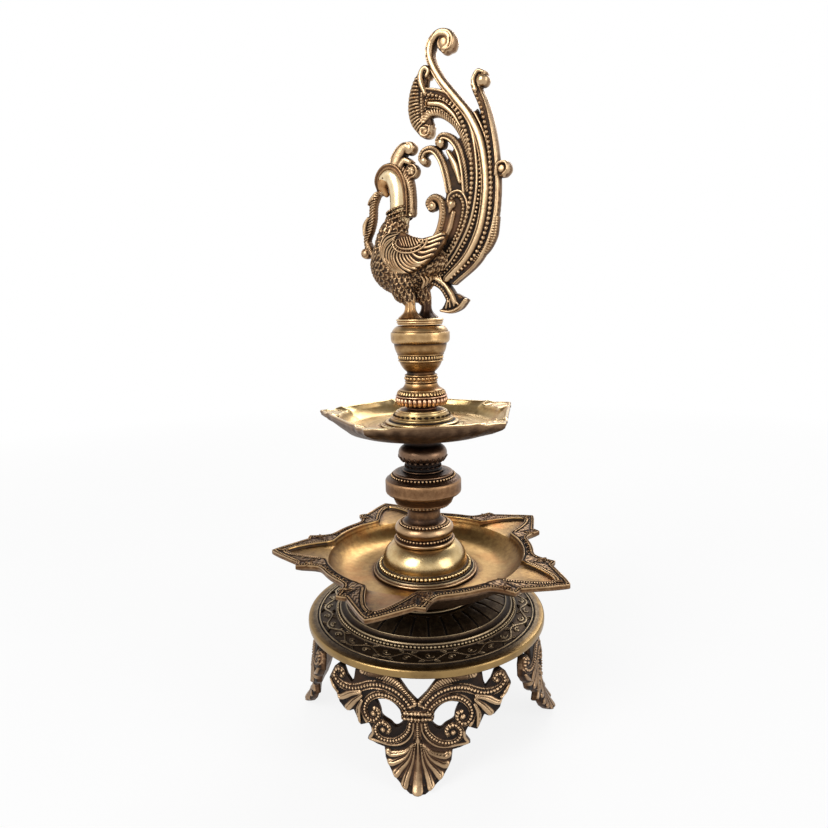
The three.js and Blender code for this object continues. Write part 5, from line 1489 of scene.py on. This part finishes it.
def tube(shell, stations, y=0.0, around=40, step=0.7, flat=1.0, pattern=None, kind=0, tone=0.0):
    """Round limb through [back, height, radius] stations, with rounded ends. flat widens it sideways."""
    line = smooth_path(stations, step)
    tangent = np.gradient(line[:, :2], axis=0)
    tangent /= np.hypot(tangent[:, 0], tangent[:, 1])[:, None]
    caps = [(0.0, 1.0), (0.38, 0.92), (0.72, 0.7), (0.94, 0.34), (1.0, 0.02)]
    first = [(line[0, :2] - tangent[0] * line[0, 2] * a, line[0, 2] * b, tangent[0])
             for a, b in caps[:0:-1]]
    last = [(line[-1, :2] + tangent[-1] * line[-1, 2] * a, line[-1, 2] * b, tangent[-1])
            for a, b in caps[1:]]
    rings = first + [(p[:2], p[2], t) for p, t in zip(line, tangent)] + last
    centre = np.array([r[0] for r in rings])
    radius = np.array([r[1] for r in rings])
    way = np.array([r[2] for r in rings])
    angle = np.arange(around) * 2 * math.pi / around
    along = np.concatenate([[0], np.cumsum(np.hypot(*np.diff(centre, axis=0).T))])
    push, mark = 0.0, np.full((len(rings), around), float(tone))
    if pattern:
        push, mark = pattern(along[:, None], angle[None], radius[:, None])
        push = push * np.clip(radius / 2.5, 0, 1)[:, None]
    reach = radius[:, None] + push
    out, wide = reach * np.cos(angle), reach * np.sin(angle) * flat
    points = np.stack([centre[:, :1] - way[:, 1:] * out, y + wide, centre[:, 1:] + way[:, :1] * out], -1)
    shell.add(into_bird(points.reshape(-1, 3)), grid_faces(len(rings), around, wrap_rows=False)[:, ::-1],
              mark, kind)


def scales(pitch=3.5, width=3.9, high=0.5):
    """Rows of small overlapping scales along a round form."""
    def pattern(along, angle, radius):
        row = np.floor(along / pitch)
        count = np.maximum(6, np.round(2 * math.pi * radius / width))
        place = angle / (2 * math.pi) * count + 0.5 * (row % 2)
        across = (place % 1 - 0.5) / 0.5
        down = along / pitch - row
        far = np.sqrt(across ** 2 + down ** 2)
        ridge = bump(far, 0.86, 0.17) + 0.42 * np.clip(1 - far, 0, 1) ** 0.5
        return high * (ridge - 0.5), np.clip(2.2 * ridge - 1.35, -1, 1)
    return pattern


def egg(shell, centre, size, tilt, pattern, around=150, up=110, kind=0):
    """Egg form whose long axis lies in the bird's plane. The pattern's rows run round that axis."""
    t = np.linspace(0.004, math.pi - 0.004, up)
    angle = np.arange(around) * 2 * math.pi / around
    x = -np.cos(t) * size[0] / 2
    ring = np.sin(t)
    along = np.concatenate([[0], np.cumsum(np.hypot(np.diff(x), np.diff(ring * size[1] / 2)))])
    radius = ring * (size[1] + size[2]) / 4
    push, mark = pattern(along[:, None], angle[None], np.maximum(radius, 1.0)[:, None])
    push = push * np.clip(radius / 3, 0, 1)[:, None]
    normal_x = -np.cos(t) / (size[0] / 2)
    normal_r = ring / ((size[1] + size[2]) / 4)
    long = np.hypot(normal_x, normal_r)
    out = ring[:, None]
    wide = (out * size[1] / 2 + push * (normal_r / long)[:, None]) * np.sin(angle)
    high = (out * size[2] / 2 + push * (normal_r / long)[:, None]) * np.cos(angle)
    ahead = x[:, None] + push * (normal_x / long)[:, None]
    a = math.radians(tilt)
    points = np.stack([centre[0] + ahead * math.cos(a) + high * math.sin(a), wide,
                       centre[1] - ahead * math.sin(a) + high * math.cos(a)], -1)
    shell.add(into_bird(points.reshape(-1, 3)), grid_faces(up, around, wrap_rows=False), mark, kind)


WING = [(-29.6, 361.1), (-27.6, 364.6), (-22.5, 366.6), (-16, 366.6), (-10.7, 366), (-2, 362.4),
        (5.6, 360.4), (14, 362), (19.9, 364.8), (22.6, 361.6), (21.3, 356.2), (15.4, 349.4), (8.4, 343.5),
        (1.2, 339.4), (-6.5, 337), (-14.4, 337), (-21.7, 339.8), (-27, 345), (-30, 351.6), (-30.8, 357)]

# Ribs of the wing, front to back: four points of each of some ribs, and the rest lie between these.
WING_RIBS = np.array([
    [(-12, 366.4), (-23.5, 366), (-29.4, 359.6), (-29.6, 351)],
    [(-16.6, 362), (-24.4, 356), (-25.4, 347), (-19.6, 339.6)],
    [(-13.4, 355.6), (-16.4, 349), (-13.4, 342), (-6.6, 336.8)],
    [(-3.6, 352.6), (-2, 348), (3.4, 344), (11.4, 345.6)],
    [(5, 359.6), (9, 359.2), (15, 360.8), (22.6, 363.6)]])


def wing_carving():
    carved = Carving((-34, 333), (26, 370), 0.36)
    carved.area(WING, 0.1)
    middle = np.array([-3.4, 359.2])
    for share in (0, 0.35, 0.7, 1, 1.25, 1.5, 1.75, 2, 2.2, 2.4, 2.6, 2.8, 3, 3.2, 3.4, 3.6, 3.8, 4):
        k = min(3, int(share))
        path = WING_RIBS[k] * (k + 1 - share) + WING_RIBS[k + 1] * (share - k)
        carved.stroke(path, (0.6, 1.25, 1.4, 1.15), rib(1.35), lift=0.15, solid=False)
    for wide, tall, half in ((10.8, 5.0, 1.0), (13.6, 7.6, 1.0)):
        ring = [middle + np.array([math.cos(a) * wide, math.sin(a) * tall - 0.4])
                for a in np.linspace(2.7, 6.9, 24)]
        carved.stroke(ring, (0.5, half, half, 0.6), rib(1.6), lift=0.35, solid=False, over=True)
    for k in range(8):
        x = middle[0] - 6.6 + 2.1 * k
        tall = 3.9 * math.sqrt(max(0.06, 1 - ((x - middle[0]) / 9.4) ** 2))
        carved.stroke([(x - 1.8, middle[1] + tall * 0.8), (x + 1.2, middle[1] - tall * 0.95)],
                      (0.6, 0.75), rib(1.4), lift=0.3, solid=False, over=True)
    return carved


def hoop(shell, ring, radius, around=8):
    """Thin closed hoop through a ring of places."""
    way = np.roll(ring, -1, 0) - np.roll(ring, 1, 0)
    way /= np.linalg.norm(way, axis=1)[:, None]
    side = np.cross(way, ring - ring.mean(0))
    side /= np.linalg.norm(side, axis=1)[:, None]
    out = np.cross(side, way)
    a = np.arange(around)[None, :, None] * 2 * math.pi / around
    points = ring[:, None] + radius * (np.cos(a) * out[:, None] + np.sin(a) * side[:, None])
    shell.add(into_bird(points.reshape(-1, 3)), grid_faces(len(ring), around)[:, ::-1], -0.2)


def shin_lines(along, angle, radius):
    """Nine low folds down a shin."""
    wave = np.cos(angle * 9)
    return 0.16 * wave + 0 * along, 0.25 * wave + 0 * along


def add_bird_tail():
    shell = Shell()
    carved = flat_casting()

    def bend(x, depth, z):
        return into_bird(np.stack([x, -depth, z], -1))

    carved.solid(shell, bend, FLAT_HALF, FLAT_HALF, both=True, edge=0.9)
    shell.piece("peacock_tail", ANTIQUE, "finial", "peacock_finial", sharp=70)


def add_bird_wings():
    shell = Shell()
    wing = wing_carving()
    for side in (1, -1):
        def bend(x, depth, z):
            bulge = 1 - ((x + 4) / 27) ** 2 - ((z - 351) / 19) ** 2
            points = np.stack([x + WING_SHIFT * side, -(12.2 + 4.0 * bulge + depth) * side, z], -1)
            return into_bird(points)
        part = Shell()
        wing.solid(part, bend, 1.4, 3.4)
        faces = part.faces[0] if side == 1 else part.faces[0][:, ::-1]
        shell.add(part.points[0], faces, part.relief[0])
    shell.piece("peacock_wings", ANTIQUE, "finial", sharp=70)


def add_bird_body():
    """Breast, rump and thighs with scales, the necklaces, and the feathers under the tail."""
    shell = Shell()
    egg(shell, (-14.5, 344), (49, 33.4, 41), 12, scales(4.1, 4.7, 0.95))
    egg(shell, (8, 345), (38, 21, 26), -6, scales(3.6, 4.2, 0.5), 90, 60)
    tube(shell, [(-25, 350, 12.6), (-21.5, 364, 11.2), (-17.8, 373, 8.9), (-15.6, 379, 7.6)], around=90,
         step=0.5, pattern=scales(4.0, 4.5, 0.95))
    for z, r in ((376.4, 9.3), (379.8, 8.9), (383.0, 8.5)):
        a = np.linspace(0, 2 * math.pi, 73)[:-1]
        centre = -15.4 - 0.1 * (z - 379)
        ring = np.stack([centre + np.cos(a) * r, r * np.sin(a), z + 2.4 * np.cos(a)], -1)
        way = np.roll(ring, -1, 0) - np.roll(ring, 1, 0)
        out = ring - np.array([centre, 0, z])
        twist = way / np.linalg.norm(way, axis=1)[:, None] + np.array([0, 0, 0.55])
        set_along(shell, round_form(2.5, 1.5, 1.9, 1, 8, 6), into_bird(ring)[::3], into_bird(twist)[::3],
                  into_bird(out)[::3])
        hoop(shell, ring, 0.8)
    for side, x in BIRD_LEGS:
        tube(shell, [(x - 6.4, 338, 9.6), (x - 5.2, 326, 8.6), (x - 1.6, 320, 5.4), (x, 316.6, 3.6)],
             y=BIRD_LEG_OUT * side, around=72, step=0.5, pattern=scales(3.6, 4.0, 0.8))
    for k in range(5):
        root = (4.6 + 2.3 * k, 337.6 + 0.8 * k)
        line = [(root[0], root[1], 1.3), (root[0] + 3.4, root[1] - 5.4, 1.2),
                (root[0] + 1.6, root[1] - 10 + k, 0.8)]
        for side in (1, -1):
            tube(shell, line, y=side * (6.4 - 0.9 * k), around=10, flat=1.2, tone=0.5)
    shell.piece("peacock_body", ANTIQUE, "finial", sharp=70)


def hood_folds(along, angle, radius):
    """Six folds along the hood."""
    wave = np.cos(angle * 6)
    return 0.3 * wave + 0 * along, 0.5 * wave - 0.4 + 0 * along


def add_bird_head():
    """Bare neck and head, beak, eyes, and the hood behind them."""
    shell = Shell()
    tube(shell,
         [(-15.4, 377, 7.4), (-14.5, 386, 7.3), (-14.8, 397, 7.4), (-17.2, 403.6, 7.3),
          (-21.6, 407.2, 6.5), (-26.0, 405.8, 5.8)],
         around=64, flat=0.94, tone=0.25, kind=0)
    tube(shell, [(-24.6, 406.0, 5.9), (-27.4, 402.8, 5.5), (-27.8, 399.0, 4.2), (-25.6, 395.4, 2.3)],
         around=48, flat=0.92, tone=0.0, kind=1)
    for side in (1, -1):
        outward = into_bird(np.array([[-0.35, side, 0.0]]))
        eye = into_bird(np.array([[-25.2, side * 5.6, 405.6]]))
        set_along(shell, round_form(1.5, 1.1, 1.2), eye, into_bird(np.array([[1.0, 0, 0.3]])), outward,
                  kind=2)
    hood = [(-31.4, 398.4, 1.6), (-31.6, 404.4, 2.6), (-28.4, 409.8, 3.1), (-22.6, 413.0, 3.3),
            (-15.6, 411.6, 3.3), (-10.6, 406.0, 3.2), (-8.2, 397.6, 2.9), (-7.6, 388, 2.7),
            (-8.0, 379.6, 2.5)]
    tube(shell, hood, around=32, flat=1.75, kind=3, pattern=hood_folds)
    shell.piece("peacock_head", [NECK, SHANK, SHADED, ANTIQUE], "finial", sharp=70)


def add_bird_legs():
    """Shins on the plinth's disc."""
    shell = Shell()
    for side, x in BIRD_LEGS:
        shank = Shell()
        tube(shank,
             [(x, 322, 3.0), (x, 317, 3.6), (x, 313, 3.9), (x, 310.4, 5.0), (x, 308.4, 7.0),
              (x, 306.8, 8.9)],
             y=BIRD_LEG_OUT * side, around=56, pattern=shin_lines)
        shank.points[0][:, 2] = np.maximum(shank.points[0][:, 2], PLINTH_TOP - 0.5)
        # The far shin takes the shaded look: painted shade on the leg behind
        shell.add(shank.points[0], shank.faces[0], shank.relief[0], 0 if side == -1 else 1)
    low = foot("peacock_finial")
    section = [(0.4, low), (16.3, low), (16.3, low + 1.2),
               *arc((16.6, low + 1.3), (16.6, low + 2.6), 0.5, 4), (16.8, low + 2.9),
               *arc((17.0, low + 3.0), (17.0, low + 4.2), 0.4, 4), (16.4, PLINTH_TOP - 0.3),
               (0.4, PLINTH_TOP - 0.3)]
    turned(shell, section, SIDES)
    shell.piece("peacock_legs", [SHANK, SHADED], "finial", sharp=60)


# Studio

def add_floor():
    """Pale floor that runs far behind the lamp."""
    mesh = bpy.data.meshes.new("floor")
    reach = 30
    mesh.from_pydata([(-reach, -reach, 0), (reach, -reach, 0), (reach, reach, 0), (-reach, reach, 0)], [],
                     [(0, 1, 2, 3)])
    look = bpy.data.materials.new("studio_floor")
    look.use_nodes = True
    tree = look.node_tree
    tree.nodes.clear()
    coords = node(tree, "TexCoord").outputs["Object"]
    soft = noise(tree, coords, 3, 2)
    colour = ramp(tree, soft, [(0.3, (0.80, 0.80, 0.80)), (0.7, (0.84, 0.84, 0.84))])
    diffuse = node(tree, "BsdfDiffuse", Color=colour)
    glow = node(tree, "Emission", Strength=1.0)
    glow.inputs["Color"].default_value = (1, 1, 1, 1)
    path = node(tree, "LightPath")
    seen = maths(tree, "MAXIMUM", path.outputs["Is Camera Ray"], path.outputs["Is Glossy Ray"])
    seen = maths(tree, "MAXIMUM", seen, path.outputs["Is Transmission Ray"])
    far = node(tree, "VectorMath", operation="LENGTH")
    tree.links.new(coords, far.inputs[0])
    white = stretched(tree, far.outputs["Value"], 0.3, 1.6, FLOOR_GLOW, 1.0)
    share = maths(tree, "MULTIPLY", seen, white)
    mix = node(tree, "MixShader")
    tree.links.new(share, mix.inputs[0])
    tree.links.new(diffuse.outputs[0], mix.inputs[1])
    tree.links.new(glow.outputs[0], mix.inputs[2])
    output = node(tree, "OutputMaterial")
    tree.links.new(mix.outputs[0], output.inputs["Surface"])
    mesh.materials.append(look)
    floor = bpy.data.objects.new("floor", mesh)
    bpy.context.scene.collection.objects.link(floor)


def add_world():
    """White behind the lamp and in its metal near the horizon, greyer overhead; soft fill from all round."""
    world = bpy.data.worlds.new("studio")
    bpy.context.scene.world = world
    world.use_nodes = True
    tree = world.node_tree
    tree.nodes.clear()
    coords = node(tree, "TexCoord").outputs["Generated"]
    split = node(tree, "SeparateXYZ", Vector=coords)
    height = split.outputs["Z"]
    seen = stretched(tree, height, 0.46, 0.74, 1.0, ROOF_LEVEL)
    path = node(tree, "LightPath")
    direct = maths(tree, "MAXIMUM", path.outputs["Is Camera Ray"], path.outputs["Is Glossy Ray"])
    direct = maths(tree, "MAXIMUM", direct, path.outputs["Is Transmission Ray"])
    strength = maths(tree, "ADD", maths(tree, "MULTIPLY", direct,
                                        maths(tree, "SUBTRACT", seen, FILL_LEVEL)), FILL_LEVEL)
    background = node(tree, "Background", Strength=strength)
    background.inputs["Color"].default_value = (1, 1, 1, 1)
    output = node(tree, "OutputWorld")
    tree.links.new(background.outputs[0], output.inputs["Surface"])


def add_lamp(name, place, aim, size, power, colour=(1, 1, 1)):
    light = bpy.data.lights.new(name, "AREA")
    light.shape = "RECTANGLE"
    light.size, light.size_y = size
    light.energy = power
    light.color = colour
    lamp = bpy.data.objects.new(name, light)
    lamp.location = place
    lamp.rotation_euler = (Vector(aim) - Vector(place)).to_track_quat("-Z", "Y").to_euler()
    bpy.context.scene.collection.objects.link(lamp)


def add_camera():
    camera = bpy.data.cameras.new("camera")
    camera.lens = CAMERA_LENS
    camera.sensor_width = CAMERA_SENSOR
    camera.clip_start = 0.01
    turn, tilt, roll = (math.radians(a) for a in (CAMERA_AZIMUTH, CAMERA_TILT, CAMERA_ROLL))
    ahead = Vector((math.cos(turn) * math.cos(tilt), math.sin(turn) * math.cos(tilt), math.sin(tilt)))
    right = ahead.cross(Vector((0, 0, 1))).normalized()
    up = right.cross(ahead)
    right, up = (right * math.cos(roll) + up * math.sin(roll),
                 up * math.cos(roll) - right * math.sin(roll))
    place = (Vector(CAMERA_PLACE) + STEM_AXIS) * MM
    holder = bpy.data.objects.new("camera", camera)
    holder.matrix_world = Matrix((
        (right.x, up.x, -ahead.x, place.x), (right.y, up.y, -ahead.y, place.y),
        (right.z, up.z, -ahead.z, place.z), (0, 0, 0, 1)))
    bpy.context.scene.collection.objects.link(holder)
    bpy.context.scene.camera = holder


add_fasteners()
add_pedestal()
add_disc()
add_basin()
add_bell()
add_spool()
add_knop()
add_ball()
add_tray()
add_collar()
add_bulb()
add_urn()
add_legs()
add_bird_tail()
add_bird_wings()
add_bird_body()
add_bird_head()
add_bird_legs()

add_floor()
add_world()
middle = (0, 0, 0.25)
add_lamp("key", (-0.7, -0.9, 1.0), middle, (0.7, 0.9), 14)
add_lamp("fill", (1.1, -0.5, 0.6), middle, (0.6, 1.0), 6)
add_lamp("back", (0.3, 1.1, 1.1), middle, (0.9, 0.5), 8)
add_camera()
bpy.context.scene.view_settings.view_transform = "Standard"
